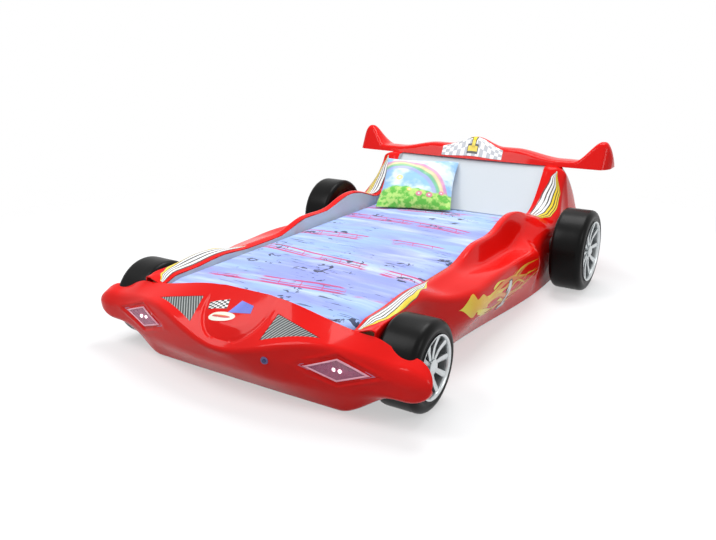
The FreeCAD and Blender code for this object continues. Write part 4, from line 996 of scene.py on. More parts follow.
    def tongue(self, index: int, shape: Sequence[float], core: bool) -> bpy.types.Object:
        """One flame tongue.

        Args:
            index: its number, which sets its sway and lift.
            shape: where it starts and ends along the bed, its heights there, its half width and its sway.
            core: a core is a lens, and an outer tongue tapers from its root.

        Returns:
            The tongue's sheet.
        """
        start, end, low, high, width, sway = shape
        rows = []
        for y in spaced(start, end, 36 if core else 44):
            share = (y - start) / (end - start)
            middle = low + (high - low) * share + sway * math.sin(share * 7.5 + index)
            if core:
                half = width * math.sin(math.pi * min(1.0, share * 0.9 + 0.1)) ** 0.8
            else:
                pulse = 0.75 + 0.25 * math.sin(share * 13)
                half = width * (1 - share) ** 0.75 * pulse * smooth(share, -0.12, 0.1)
            lift, cells = (1.0, 4) if core else (0.5 + index * 0.05, 6)
            rows.append([self.on_flank(y, z, lift) for z in spaced(middle - half, middle + half, cells)])
        return Bench.surface("tongue", rows, self.outward, uv=True)

    def flames(self) -> None:
        """Lays the flame sticker on the pod: tongues with cores behind an arrow head, and a figure 1."""
        for name, finish, shapes, core in (("pod_flames", GOLD, self.tongues, False),
                                           ("pod_flame_cores", ORANGE, self.cores, True)):
            made = [self.tongue(index, shape, core) for index, shape in enumerate(shapes)]
            sticker = Bench.joined(self.named(name), made)
            Bench.shade(sticker)
            Bench.finish(sticker, finish)
        self.patch("pod_arrow", GOLD, spaced(455, 645, 44), 0.9,
                   ((455, 200), (540, 150), (556, 176), (600, 168), (645, 158)),
                   ((455, 200), (540, 240), (560, 214), (600, 222), (645, 200)))
        self.figure("pod_figure_edge", BLACK_INK, 5, 1.2)
        self.figure("pod_figure", WHITE_INK, 0, 1.6)

    def figure(self, name: str, finish: Finish, grow: float, lift: float) -> None:
        """The figure 1 from its stem, foot and flag, grown for its dark edge."""
        strokes = [
            self.patch(f"{name}_stem", finish, spaced(862 - grow, 886 + grow, 8), lift,
                       ((0, 84 - grow),), ((0, 196 + grow),)),
            self.patch(f"{name}_foot", finish, spaced(842 - grow, 906 + grow, 12), lift,
                       ((0, 76 - grow),), ((0, 92 + grow),)),
            self.patch(f"{name}_flag", finish, spaced(842 - grow, 864, 8), lift,
                       ((842, 156 - grow), (864, 166 - grow)), ((842, 168 + grow), (864, 194 + grow))),
        ]
        Bench.joined(self.named(name), strokes)

    def patch(self, name: str, finish: Finish, places: list[float], lift: float,
              low: Sequence[Pair], high: Sequence[Pair]) -> bpy.types.Object:
        """A printed patch on the flank between two heights given as (along, up)."""
        rows = [[self.on_flank(y, z, lift) for z in spaced(between(y, low), between(y, high), 12)] for y in places]
        return Bench.sticker(self.named(name), rows, self.outward, finish)


@dataclass
class NoseSkin:
    """The arrow-shaped front with its ears, raised tongue, lamp covers and grilles. Sizes in mm."""

    reach: float = 188.9
    back: float = -15.0
    wall: float = 4.0
    ear_start: float = 615.0
    ear_end: float = 697.0
    ear_heart: Pair = (-52.0, 160.0)
    top: Curve = Curve(316, ((-54, 100, 480), (-34, 480, 600)))
    arrow: Curve = Curve(-188.9, ((125, 0, 640),))
    arrow_level: Curve = Curve(170, ((68, 0, 330), (-33, 350, 620)))
    lip: Curve = Curve(-172, ((90, 60, 640),))
    lip_level: Curve = Curve(145, ((25, 0, 400),))
    chin: Curve = Curve(-150, ((75, 100, 650),))
    chin_level: Curve = Curve(100, ((6, 385, 590),))
    foot: Curve = Curve(-65, ((26, 385, 590),))
    foot_level: Curve = Curve(6, ((90, 385, 590),))
    tongue_half: float = 121.0
    tongue_front: float = 152.0
    tongue_round: float = 104.0
    tongue_top: float = 319.0
    tongue_slope: float = 0.7815
    tongue_rise: Pair = (-4.0, 30.0)
    groove_depth: float = 4.0
    groove_place: Pair = (-9.0, 12.0)
    shelf_low: float = 195.0
    shelf_half: float = 330.0
    face_high: float = 236.0
    face_along: float = -60.0
    lens_sink: float = 3.5
    lens_sink_run: Pair = (9.0, 14.0)
    lens_lip: float = 2.2
    lens_lip_place: Pair = (18.0, 9.0)
    lens: tuple[float, float, float, float] = (409.0, 169.0, 104.0, 37.0)
    grille: tuple[Pair, ...] = ((338, -88), (158, -58), (146, -143))
    grille_middle: Pair = (215, -100)
    blends: tuple[float, ...] = (0, 16, 30, 22, 14, 0)
    fills: tuple[int, ...] = (56, 18, 8, 10, 4)

    def corners(self, x: float) -> Profile:
        """The profile's corners from the back's top forward and down: (along, up)."""
        side = abs(x)
        spots = [
            (self.back, self.top.at(side)),
            (self.arrow.at(side), self.arrow_level.at(side)),
            (self.lip.at(side), self.lip_level.at(side)),
            (self.chin.at(side), self.chin_level.at(side)),
            (self.foot.at(side), self.foot_level.at(side)),
            (self.back, self.foot_level.at(side)),
        ]
        share = max(0.0, (side - self.ear_start) / (self.ear_end - self.ear_start))
        shrink = math.sqrt(1 - min(share, 0.999) ** 2)
        along, up = self.ear_heart
        return [(along + (y - along) * shrink, up + (z - up) * shrink) for y, z in spots]

    def profile(self, x: float) -> Profile:
        """The rounded line at one place across, without the reliefs."""
        return rounded(self.corners(x), self.blends, 6, self.fills)

    def tongue_lift(self, x: float, y: float, z: float) -> float:
        """How far the raised tongue stands over the shelf at a place in plan."""
        corner = max(0.0, abs(x) - self.tongue_half + self.tongue_round)
        front = max(0.0, -y - self.tongue_front + self.tongue_round)
        inside = self.tongue_round - math.hypot(corner, front)
        inside = min(inside, self.tongue_half - abs(x)) if front == 0 else inside
        over = self.tongue_top - self.tongue_slope * (self.back - y) - z
        groove = -self.groove_depth * bump(inside, *self.groove_place) * smooth(-y, 40, 90)
        return max(0.0, over) * smooth(inside, *self.tongue_rise) + groove

    def front_relief(self, x: float, z: float) -> float:
        """How far the front face sinks round a lamp cover."""
        across, level, half, high = self.lens
        away = (abs(abs(x) - across) / half + abs(z - level) / high - 1) * 34
        sink = self.lens_sink * (1 - smooth(away, *self.lens_sink_run))
        return sink - self.lens_lip * bump(away, *self.lens_lip_place)

    def point(self, x: float, y: float, z: float) -> tuple[float, float]:
        """Adds the reliefs to a point of the profile."""
        if y > -self.reach + self.wall and z > self.shelf_low and abs(x) < self.shelf_half:
            z += self.tongue_lift(x, y, z)
        if z < self.face_high and y < self.face_along:
            y += self.front_relief(x, z)
        return y, z

    def build(self) -> bpy.types.Object:
        """Makes the skin with its wall and its openings."""
        tongue, ear = 160, 600
        places = spaced(0, tongue, 40)[:-1] + spaced(tongue, ear, 90)[:-1]
        places += [ear + (self.ear_end - ear) * math.sin(turn) for turn in spaced(0, math.pi / 2, 26)]
        rows = []
        for x in [-x for x in reversed(places[1:])] + places:
            rows.append([frame_point(x, *self.point(x, y, z)) for y, z in self.profile(x)])
        skin = Bench.surface("nose_skin", rows, Vector((0, -1, 1)))
        Bench.modifier(skin, "SOLIDIFY", thickness=self.wall / 1000, offset=-1)
        Bench.clear()
        for cutter in self.cutters():
            Bench.modifier(skin, "BOOLEAN", operation="DIFFERENCE", object=cutter, solver="EXACT")
            bpy.data.objects.remove(cutter)
        Bench.shade(skin, 45)
        Bench.finish(skin, RED, nodes=["nose_shell"])
        return skin

    def lens_outline(self, side: Side, grow: float) -> Profile:
        """The lamp cover's four corners as (across, up), grown outwards."""
        across, level, half, high = self.lens
        wide, tall = half + grow * 2.6, high + grow
        return [(side.value * (across - wide), level), (side.value * across, level + tall),
                (side.value * (across + wide), level), (side.value * across, level - tall)]

    def grille_outline(self, side: Side, grow: float) -> Profile:
        """The grille's three corners as (across, along), grown outwards."""
        middle, corners = Vector(self.grille_middle), [Vector(corner) for corner in self.grille]
        grown = [corner + (corner - middle).normalized() * grow * 1.6 for corner in corners]
        return [(side.value * corner.x, corner.y) for corner in grown]

    def cutters(self) -> list[bpy.types.Object]:
        """Prisms that cut the openings for lamp covers and grilles."""
        made = []
        for side in Side:
            made.append(self.prism(f"lens_cutter_{side.word}", [
                (frame_point(x, -260, z), frame_point(x, -60, z)) for x, z in self.lens_outline(side, 0)]))
            made.append(self.prism(f"grille_cutter_{side.word}", [
                (frame_point(x, y, 400), frame_point(x, y, 180)) for x, y in self.grille_outline(side, 0)]))
        return made

    @staticmethod
    def prism(name: str, edges: list[tuple[Vector, Vector]]) -> bpy.types.Object:
        """A prism from its edges, each given by its two ends."""
        Bench.clear()
        bpy.ops.mesh.primitive_cylinder_add(vertices=len(edges), radius=1, depth=2)
        piece = bpy.context.object
        piece.name = name
        tops, lows = (sorted((vertex for vertex in piece.data.vertices if vertex.co.z * way > 0),
                             key=lambda vertex: math.atan2(vertex.co.x, vertex.co.y)) for way in (1, -1))
        for top, low, (first, second) in zip(tops, lows, edges):
            top.co, low.co = first, second
        Bench.weld(piece)
        return piece


@dataclass
class NoseTrim:
    """What sits in and on the nose: lamps, grilles, the light switch and the tongue's stickers."""

    skin: NoseSkin
    dot_step: float = 11.0
    dot_depth: float = 4.5
    dot_radius: float = 6.2

    def build(self) -> None:
        """Makes the trim on both sides of the nose."""
        for side in Side:
            self.lamp(side)
            self.grille(side)
        self.lit_lamps()
        self.switch()
        self.stickers()

    def front_y(self, x: float, z: float) -> float:
        """How far forward the front face stands at a height."""
        front = [point for point in self.skin.profile(x) if point[0] < self.skin.face_along]
        return min(front, key=lambda point: abs(point[1] - z))[0]

    def lens_rows(self, side: Side, rings: Sequence[Pair]) -> list[list[Vector]]:
        """Closed rings round the lamp cover, each from its share of the cover's size and its depth."""
        corners = [Vector(corner) for corner in self.skin.lens_outline(side, 0.4)]
        edge = [corner.lerp(following, step / 14)
                for corner, following in zip(corners, corners[1:] + corners[:1]) for step in range(14)]
        middle = Vector((side.value * self.skin.lens[0], self.skin.lens[1]))
        rows = []
        for share, depth in rings:
            ring = [middle.lerp(point, share) for point in edge + edge[:1]]
            rows.append([frame_point(x, self.front_y(x, z) + depth, z) for x, z in ring])
        return rows

    def lamp(self, side: Side) -> None:
        """One lamp's rim and its cover, which is a shallow dish."""
        rim = ((1.0, 2.0), (1.0, 0.2), (0.93, -1.6), (0.86, -0.4), (0.84, 1.6))
        dish = [(share, 1.2 - 2.5 * (1 - share)) for share in spaced(0.86, 0.01, 12)]
        node = f"headlight_lens_{side.word}"
        for name, rings, wall, finish, nodes in (("lens_rim", rim, 1.5, COVER_RIM, [node]),
                                                 ("lens_cover", dish, 2.0, COVER, [])):
            rows = self.lens_rows(side, rings)
            piece = Bench.shell(f"{name}_{side.word}", rows, Vector((0, -1, 0)), wall, weld=True)
            Bench.finish(piece, finish, nodes=nodes)

    def lit_lamps(self) -> None:
        """Two lit lamps behind each cover."""
        across, level, _, _ = self.skin.lens
        dots = []
        for side in Side:
            for step in (-self.dot_step, self.dot_step):
                Bench.clear()
                spot = frame_point(side.value * across + step, self.front_y(across, level) + self.dot_depth, level)
                bpy.ops.mesh.primitive_uv_sphere_add(segments=24, ring_count=12, radius=self.dot_radius / 1000)
                dot = bpy.context.object
                dot.data.transform(Matrix.Translation(spot) @ Matrix.Diagonal((1, 0.5, 1, 1)))
                dots.append(dot)
        lit = Bench.joined("lit_lamps", dots)
        Bench.shade(lit)
        Bench.finish(lit, GLOW, nodes=["lamps"])

    def grille(self, side: Side) -> None:
        """One ribbed triangle set a little into the shelf beside the tongue."""
        corners = [Vector(corner) for corner in self.skin.grille_outline(side, -0.5)]
        rows = []
        for share in spaced(0, 1, 40):
            first, last = corners[0].lerp(corners[1], share), corners[0].lerp(corners[2], share)
            row = []
            for step in spaced(0, 1, 24):
                x, y = first.lerp(last, step)
                row.append(frame_point(x, y, self.shelf_z(x, y) - 1.5))
            rows.append(row)
        insert = Bench.shell(f"grille_insert_{side.word}", rows, Vector((0, 0, 1)), 3.0, weld=True)
        Bench.finish(insert, GRILLE, nodes=[f"grille_{side.word}"])

    def shelf_z(self, x: float, y: float) -> float:
        """Height of the nose's top at a place in plan."""
        line = self.skin.profile(x)
        for (y_back, z_back), (y_front, z_front) in zip(line, line[1:]):
            if y_front <= y <= y_back:
                level = z_back + (z_front - z_back) * (y_back - y) / max(0.001, y_back - y_front)
                return self.skin.point(x, y, level)[1]
        return line[0][1]

    def switch(self) -> None:
        """Dresses the light switch."""
        Bench.dress("switch_bezel", BEZEL)
        Bench.dress("switch_button", BUTTON)
        Bench.dress("switch_nut", NUT)

    def sticker(self, name: str, finish: Finish, corners: Sequence[Pair], lift: float = 0.5) -> None:
        """A sticker on the nose's top, from its near left, near right, far right and far left corners."""
        near_left, near_right, far_right, far_left = (Vector(corner) for corner in corners)
        rows = []
        for across in spaced(0, 1, 24):
            near, far = near_left.lerp(near_right, across), far_left.lerp(far_right, across)
            spots = [near.lerp(far, up) for up in spaced(0, 1, 16)]
            rows.append([frame_point(x, y, self.shelf_z(x, y) + lift) for x, y in spots])
        Bench.sticker(name, rows, Vector((0, -0.5, 1)), finish)

    def stickers(self) -> None:
        """The tongue's plain emblem: a check flag, a blue pennant and a pale oval with a bar."""
        self.sticker("tongue_check_flag", CHECKS, ((-108, -94), (-36, -82), (-44, -54), (-116, -74)))
        self.sticker("tongue_blue_pennant", BLUE_PENNANT, ((-24, -92), (62, -80), (58, -57), (4, -50)), 0.7)
        for name, finish, lift, middle, cosines, sines in (
            ("tongue_oval", PALE_OVAL, 1.0, (-38, -107), (50, 4), (10, 15)),
            ("tongue_bar", RED_BAR, 1.4, (-40, -107), (36, 3), (0, 4)),
        ):
            outline = []
            for turn in spaced(0, math.tau, 40)[:-1]:
                outline.append([start + cosine * math.cos(turn) + sine * math.sin(turn)
                                for start, cosine, sine in zip(middle, cosines, sines)])
            piece = Bench.flat(name, [frame_point(x, y, self.shelf_z(x, y) + lift) for x, y in outline])
            Bench.finish(piece, finish)


@dataclass
class WingSkin:
    """The rear wing with its middle hump and two lobes. Sizes in mm."""

    span: float = 700.0
    seat: float = 497.0
    back: float = 1990.0
    wall: float = 4.0
    end_round: float = 42.0
    crest: Curve = Curve(562, ((-36, 220, 450), (98, 530, 648), (-11.76, 662, 700)), ((43, 0, 150),))
    patch_half: float = 168.0
    blends: tuple[float, ...] = (0, 20, 40, 30, 0, 0)
    fills: tuple[int, ...] = (6, 4, 4, 6, 6)

    def corners(self, x: float) -> Profile:
        """The profile's corners from the front foot over the crest and back: (along, up)."""
        side = abs(x)
        rise = self.crest.at(side) - self.seat
        front = 1787 + 20 * (side / self.span) ** 2
        chord = self.back - front
        share = max(0.0, side - self.span + self.end_round) / self.end_round
        shrink = 1 - math.sqrt(1 - 0.82 * share ** 2)
        middle = front + chord / 2
        spots = [
            (front, self.seat), (front + 0.45 * rise, self.seat + 0.94 * rise),
            (front + 0.48 * chord, self.seat + rise), (front + 0.8 * chord, self.seat + 0.55 * rise),
            (front + chord, self.seat + 3), (front + chord, self.seat),
        ]
        return [(y + (middle - y) * shrink, z - (z - self.seat) * shrink) for y, z in spots]

    def profile(self, x: float) -> Profile:
        """The rounded line at one place across."""
        return rounded(self.corners(x), self.blends, 6, self.fills)

    def build(self) -> None:
        """Makes the skin, closed at its ends, and its printed patch."""
        half = spaced(0, 400, 40)[:-1] + spaced(400, self.span - self.end_round, 36)[:-1]
        half += [self.span - self.end_round * (1 - math.sin(turn)) for turn in spaced(0, math.pi / 2, 14)]
        places = [-x for x in reversed(half[1:])] + half
        rows = [[frame_point(x, y, z) for y, z in self.profile(x)] for x in places]
        for end in (0, -1):
            middle = sum(rows[end], Vector()) / len(rows[end])
            middle.z = rows[end][0].z
            edge = rows[end]
            for share in (0.5, 0.02):
                row = [middle.lerp(point, share) for point in edge]
                rows.insert(0, row) if end == 0 else rows.append(row)
        skin = Bench.shell("wing_skin", rows, Vector((0, -0.3, 1)), self.wall)
        Bench.finish(skin, RED, nodes=["wing_shell"])
        self.patch()

    def front_at(self, x: float, share: float, lift: float) -> Vector:
        """A point up the wing's leaning front face."""
        line = self.profile(x)[:20]
        place = share * (len(line) - 1)
        first, part = line[int(place)], place - int(place)
        last = line[min(len(line) - 1, int(place) + 1)]
        y, z = first[0] + (last[0] - first[0]) * part, first[1] + (last[1] - first[1]) * part
        return frame_point(x, y - lift, z + lift)

    def patch(self) -> None:
        """The hump's patch of pale checks with a yellow figure."""
        rows = []
        for x in spaced(-self.patch_half, self.patch_half, 60):
            high = 0.95 - 0.5 * (abs(x) / 170) ** 1.3
            rows.append([self.front_at(x, share, 0.8) for share in spaced(0.06, high, 20)])
        Bench.sticker("wing_checks", rows, Vector((0, -1, 1)), PALE_CHECKS)
        self.figure("wing_figure_edge", BLACK_INK, 4, 1.4)
        self.figure("wing_figure", YELLOW_INK, 0, 2.2)

    def figure(self, name: str, finish: Finish, grow: float, lift: float) -> None:
        """The figure 1 from its stem, foot and flag, grown for its dark edge."""
        strokes = []
        tall = grow * 0.012
        for left, right, low, high in ((-6, 12, 0.22, 0.86), (-24, 28, 0.16, 0.28), (-22, -4, 0.62, 0.74)):
            rows = [[self.front_at(x, share, lift) for share in spaced(low - tall, high + tall, 10)]
                    for x in spaced(left - grow, right + grow, 8)]
            strokes.append(Bench.surface("stroke", rows, Vector((0, -1, 1)), uv=True))
        Bench.finish(Bench.joined(name, strokes), finish)


@dataclass
class Wheel:
    """One of the four fixed wheels; sizes in mm."""

    end: str
    side: Side
    tyre: float
    width: float
    rim: float
    inset: float
    place: float
    back: float = 0.0
    spokes: int = 10
    dish: float = 12.0
    hub_radius: float = 27.0
    spoke_start: float = 20.0
    spoke_halves: Pair = (6.5, 10.0)

    @property
    def centre(self) -> Vector:
        """The axis at the tyre's inner face."""
        return frame_point(self.side.value * self.inset, self.place, self.tyre)

    def build(self) -> None:
        """Makes the tyre, the rim with its spokes and the hub cap."""
        self.make_tyre()
        self.make_rim()
        self.make_cap()
        Bench.dress(self.node("wheel_mount"), CASE)

    def node(self, part: str) -> str:
        """The CAD node that a part of this wheel stands for."""
        return f"{self.end}_{part}_{self.side.word}"

    def spun(self, part: str, outline: Profile, steps: int = 96) -> bpy.types.Object:
        """A part of the wheel, spun about its axis."""
        return Bench.spun(f"{part}_{self.end}_{self.side.word}", outline, self.centre, self.side, steps)

    def make_tyre(self) -> None:
        """A soft-shouldered tyre with a ring moulded round its wall."""
        outer, width, bead = self.tyre, self.width, self.rim + 1
        inner_round, outer_round = 20, 26
        points: Profile = [(self.back, bead), (self.back, outer - inner_round)]
        points += [(self.back + inner_round * (1 - math.cos(turn)), outer - inner_round * (1 - math.sin(turn)))
                   for turn in spaced(0.2, 1.57, 6)]
        points += [(width * share, outer) for share in (0.35, 0.5, 0.65)]
        points += [(width - outer_round * (1 - math.sin(turn)), outer - outer_round * (1 - math.cos(turn)))
                   for turn in spaced(0, 1.5, 10)]
        points += [(width - depth, outer - down) for depth, down in ((0, 30), (1.2, 33), (1.2, 36), (0, 39))]
        points += [(width - depth, bead + up) for depth, up in ((0.5, 8), (3, 2), (5, 0))]
        piece = self.spun("tyre", points)
        Bench.shade(piece, 60)
        Bench.finish(piece, TYRE, nodes=[self.node("tyre")])

    def make_rim(self) -> None:
        """A rolled outer ring, a barrel and spokes copied round the hub."""
        rim, face, floor = self.rim, self.width, self.width - self.dish
        lip = ((-4, -0.5), (1, 2), (1.5, 4), (3, 5), (3.6, 3), (2.5, 0), (-2, -2.5), (-9, -3.5))
        ring = self.spun("rim", [(12, rim - 0.5), *((face + out, rim + up) for out, up in lip), (12, rim - 3.5)])
        hub = self.spun("hub", [(floor - 8, 6), (floor - 8, self.hub_radius - 1), (floor, self.hub_radius),
                                (floor + 1, self.hub_radius - 3), (floor + 1, 6)], 48)
        spokes = [self.spoke(number) for number in range(self.spokes)]
        piece = Bench.joined(ring.name, [ring, hub, *spokes])
        Bench.shade(piece, 45)
        Bench.finish(piece, SILVER, nodes=[self.node("rim")])

    def spoke(self, number: int) -> bpy.types.Object:
        """One spoke: a bar whose face is ridged, widening to the rim and turned to its place."""
        Bench.clear()
        bpy.ops.mesh.primitive_cube_add(size=1)
        piece = bpy.context.object
        Bench.pick(piece)
        bpy.ops.object.mode_set(mode="EDIT")
        bpy.ops.mesh.select_all(action="SELECT")
        bpy.ops.mesh.subdivide(number_cuts=3)
        bpy.ops.object.mode_set(mode="OBJECT")
        start, end = self.spoke_start, self.rim - 3
        narrow, wide = self.spoke_halves
        for vertex in piece.data.vertices:
            share = vertex.co.z + 0.5
            across = vertex.co.y * 2 * (narrow + (wide - narrow) * share)
            ridge = 3.0 * (1 - abs(vertex.co.y) * 2) if vertex.co.x > 0.2 else 0.0
            rise = self.dish * 0.75 * smooth(share, 0.55, 1.0)
            reach = self.width - self.dish - 6 + vertex.co.x * 7 + ridge + rise
            vertex.co = Vector((self.side.value * reach, across, start + (end - start) * share)) / 1000
        turn = Matrix.Rotation(math.tau * (number + 0.5) / self.spokes, 4, "X")
        piece.data.transform(Matrix.Translation(self.centre) @ turn)
        Bench.weld(piece)
        return piece

    def make_cap(self) -> None:
        """A stepped, slightly pointed cap over the bolt."""
        base = self.width - self.dish + 1
        steps = ((0, 20), (0, 26), (5, 25.5), (6.5, 23), (8, 20), (11, 12), (13, 4), (13.2, 0.4), (10, 0.4),
                 (6, 16))
        piece = self.spun("hub_cap", [(base + out, radius) for out, radius in steps], 64)
        Bench.shade(piece, 50)
        Bench.finish(piece, SILVER, nodes=[self.node("hub_cap")])


@dataclass
class Bedding:
    """Mattress and fitted sheet. Sizes in mm."""

    half_width: float = 400.0
    front: float = -20.0
    back: float = 1580.0
    base: float = 160.0
    thick: float = 110.0
    crown: float = 8.0
    corner: float = 60.0
    sheet_gap: float = 2.0
    sheet_start: float = 10.0
    sheet_drop: float = 100.0
    fold: float = 2.6
    edge_inset: float = 30.0
    sides: tuple[Pair, ...] = (
        (26, 0.0), (14, 0.0), (5, 8), (1.5, 20), (0, 40), (0, 60), (0.6, 74), (2.5, 86), (5.5, 95), (10, 102),
        (18, 107), (30, 109.6))

    def ring(self, shrink: float, level: float, grow: float = 0.0, steps: int = 220) -> list[Vector]:
        """A rounded rectangle of evenly spaced points at a level."""
        half = self.half_width - shrink + grow
        radius = min(self.corner, half)
        near, far = self.front + shrink - grow, self.back - shrink + grow
        reach = Vector((half, (far - near) / 2))
        points = []
        for turn in spaced(0, math.tau, steps)[:-1]:
            ray = Vector((math.cos(turn) * reach.x, math.sin(turn) * reach.y))
            spot = ray / max(abs(ray.x) / reach.x, abs(ray.y) / reach.y)
            over = Vector([max(0.0, abs(spot[axis]) - reach[axis] + radius) for axis in range(2)])
            if over.length > radius:
                over *= radius / over.length
            for axis in range(2):
                if over[axis]:
                    size = min(abs(spot[axis]), reach[axis] - radius) + over[axis]
                    spot[axis] = math.copysign(size, spot[axis])
            points.append(frame_point(spot.x, spot.y + (near + far) / 2, level))
        return points

    def padded_block(self, name: str, grow: float, start: float, wrinkle: float) -> bpy.types.Object:
        """A block with drawn-in sides and a crowned top, closed below.

        Args:
            name: the piece's name.
            grow: how far it stands outside the mattress.
            start: where its sides start above the slats.
            wrinkle: height of the soft folds.

        Returns:
            The new piece.
        """
        levels = [(shrink, level) for shrink, level in self.sides if level >= start]
        run = self.half_width - self.edge_inset
        for shrink in spaced(self.edge_inset + 12, self.half_width + grow - 0.001, 35):
            rise = 1 - max(0.0, 1 - (shrink - self.edge_inset) / run) ** 2.2
            levels.append((shrink, self.thick + self.crown * rise))
        rows = []
        for shrink, level in levels:
            ring = self.ring(shrink, self.base + level + grow * smooth(level, 60, 108), grow)
            rows.append([self.folded(point, shrink, wrinkle) for point in ring + ring[:1]])
        piece = Bench.surface(name, rows, Vector((0, 0, 1)))
        Bench.weld(piece)
        return piece

    def folded(self, point: Vector, shrink: float, height: float) -> Vector:
        """Adds soft folds that rise from the cloth: long low waves and a few sharper pulls across the bed."""
        if not height or shrink < 4:
            return point
        place = Vector((point.x * 1.6, point.y * 2.6, 0.3))
        wave = 0.5 + noise.noise(place * 1.4) * 0.5 + noise.noise(place * 4.5 + Vector((7, 1, 0))) * 0.3
        pull = max(0.0, 1 - abs(noise.noise(Vector((point.x * 2.2 + point.y, point.y * 5.5, 3.1)))) * 7)
        rise = min(1.6, max(0.0, wave) * 0.7 + pull * 0.9)
        return point + Vector((0, 0, height * 0.001 * rise * smooth(shrink, 4, 60)))

    def build(self) -> None:
        """Makes the mattress and the sheet stretched over it."""
        mattress = self.padded_block("mattress_soft", 0, 0, 0)
        Bench.shade(mattress, 80)
        Bench.finish(mattress, TICKING, nodes=["mattress"])
        cover = self.padded_block("sheet_cloth", self.sheet_gap, self.sheet_start, self.fold)
        Bench.pick(cover)
        self.open_foot(cover)
        Bench.modifier(cover, "SOLIDIFY", thickness=0.0012, offset=-1)
        Bench.shade(cover, 80)
        Bench.finish(cover, SHEET, nodes=["bed_sheet"])

    @staticmethod
    def open_foot(cover: bpy.types.Object) -> None:
        """Takes away the face under the sheet, which only wraps the mattress's sides."""
        mesh = bmesh.new()
        mesh.from_mesh(cover.data)
        low = [face for face in mesh.faces if face.normal.z < -0.9 and face.calc_center_median().z < 0.2]
        bmesh.ops.delete(mesh, geom=low, context="FACES")
        mesh.to_mesh(cover.data)
        mesh.free()


@dataclass
class Pillow:
    """The plump pillow that leans on the headboard. Sizes in mm, turns in degrees."""

    width: float = 380.0
    height: float = 370.0
    thick: float = 105.0
    cells: int = 44
    middle: Triple = (-185.0, 1558.9, 383.0)
    lean: float = 32.0
    twist: float = 18.0
    pressure: float = 4.0
    frames: int = 16
    reach: float = 7.0

    def build(self) -> None:
        """Sews two swollen faces together, fills them with air and leans them on the headboard."""
        piece = Bench.joined("pillow_soft", [self.face(1), self.face(-1)])
        Bench.weld(piece, 0.0002)
        self.inflate(piece)
        turn = Matrix.Rotation(math.radians(self.twist), 4, "Z") @ Matrix.Rotation(math.radians(self.lean), 4, "X")
        piece.data.transform(Matrix.Translation(frame_point(*self.middle)) @ turn)
        Bench.modifier(piece, "SUBSURF", levels=1, render_levels=1)
        Bench.shade(piece, 80)
        Bench.finish(piece, PILLOW, nodes=["pillow"])

    def face(self, way: int) -> bpy.types.Object:
        """One face of the pillow, with a waist between its corners and gathers at the seam.

        Args:
            way: 1 for the face that is seen, -1 for the rear one.

        Returns:
            The face as a grid.
        """
        Bench.clear()
        cells = self.cells
        bpy.ops.mesh.primitive_grid_add(x_subdivisions=cells, y_subdivisions=cells, size=2, calc_uvs=True)
        piece = bpy.context.object
        for vertex in piece.data.vertices:
            u, v = vertex.co.x, vertex.co.y
            edge = max(abs(u), abs(v))
            waist_u = 1 - 0.07 * (1 - v * v) * u * u
            waist_v = 1 - 0.07 * (1 - u * u) * v * v
            dome = ((1 - u ** 4) * (1 - v ** 4)) ** 0.62
            crease = noise.noise(Vector((u * 3.1, v * 3.3, way * 2.0))) * 5.5 * dome
            waves = math.sin(38 * (u if abs(v) > abs(u) else v))
            gather = waves * 1.6 * smooth(edge, 0.55, 0.9) * (1 - edge) * 4
            fold = -4.5 * bump(u * 0.75 + v * 0.6 - 0.25 * way, 0, 0.22) * dome * smooth(v, -0.9, 0.4)
            up = way * (self.thick / 2 * 0.94 * dome + crease + gather + fold) if edge < 0.9999 else 0.0
            vertex.co = Vector((u * self.width / 2 * waist_u, v * self.height / 2 * waist_v, up)) / 1000
        if way < 0:
            piece.data.flip_normals()
        return piece

    def inflate(self, piece: bpy.types.Object) -> None:
        start = [vertex.co.copy() for vertex in piece.data.vertices]
        Bench.pick(piece)
        cloth = piece.modifiers.new("cloth", "CLOTH")
        cloth.settings.use_pressure = True
        cloth.settings.uniform_pressure_force = self.pressure
        cloth.settings.shrink_min = -0.025
        cloth.settings.effector_weights.gravity = 0
        cloth.point_cache.frame_end = self.frames
        for frame_number in range(1, self.frames + 1):
            bpy.context.scene.frame_set(frame_number)
        bpy.ops.object.modifier_apply(modifier=cloth.name)
        bpy.context.scene.frame_set(1)
        for vertex, was in zip(piece.data.vertices, start):
            move = vertex.co - was
            vertex.co = was + move * min(1.0, self.reach / 1000 / max(move.length, 1e-9))
        piece.data.update()


@dataclass
class Dressing:
    """Finishes for the CAD pieces that need no other form."""

    finishes: tuple[tuple[Finish, tuple[str, ...]], ...] = (
        (GREY_BOARD, ("front_board", "rear_board", "headboard", "side_board_right", "side_board_left")),
        (RAIL, ("headboard_cleats", "corner_blocks", "slat_rail_right", "slat_rail_left")),
        (SLAT, ("slats",)),
        (WEBBING, ("slat_straps",)),
        (PLYWOOD, ("nose_formers",)),
        (BLACK_BOARD, ("wing_base",)),
        (STEEL, ("frame_screws", "wing_screws", "wheel_bolts")),
        (GLIDE, ("floor_glides",)),
        (CASE, ("battery_box", "battery_box_lid")),
        (CELL, ("batteries",)),
        (BOARD_GREEN, ("lamp_boards",)),
        (BOWL, ("headlight_bowl_right", "headlight_bowl_left")),
    )

    def build(self) -> None:
        """Dresses each node."""
        for finish, nodes in self.finishes:
            for node in nodes:
                Bench.dress(node, finish)


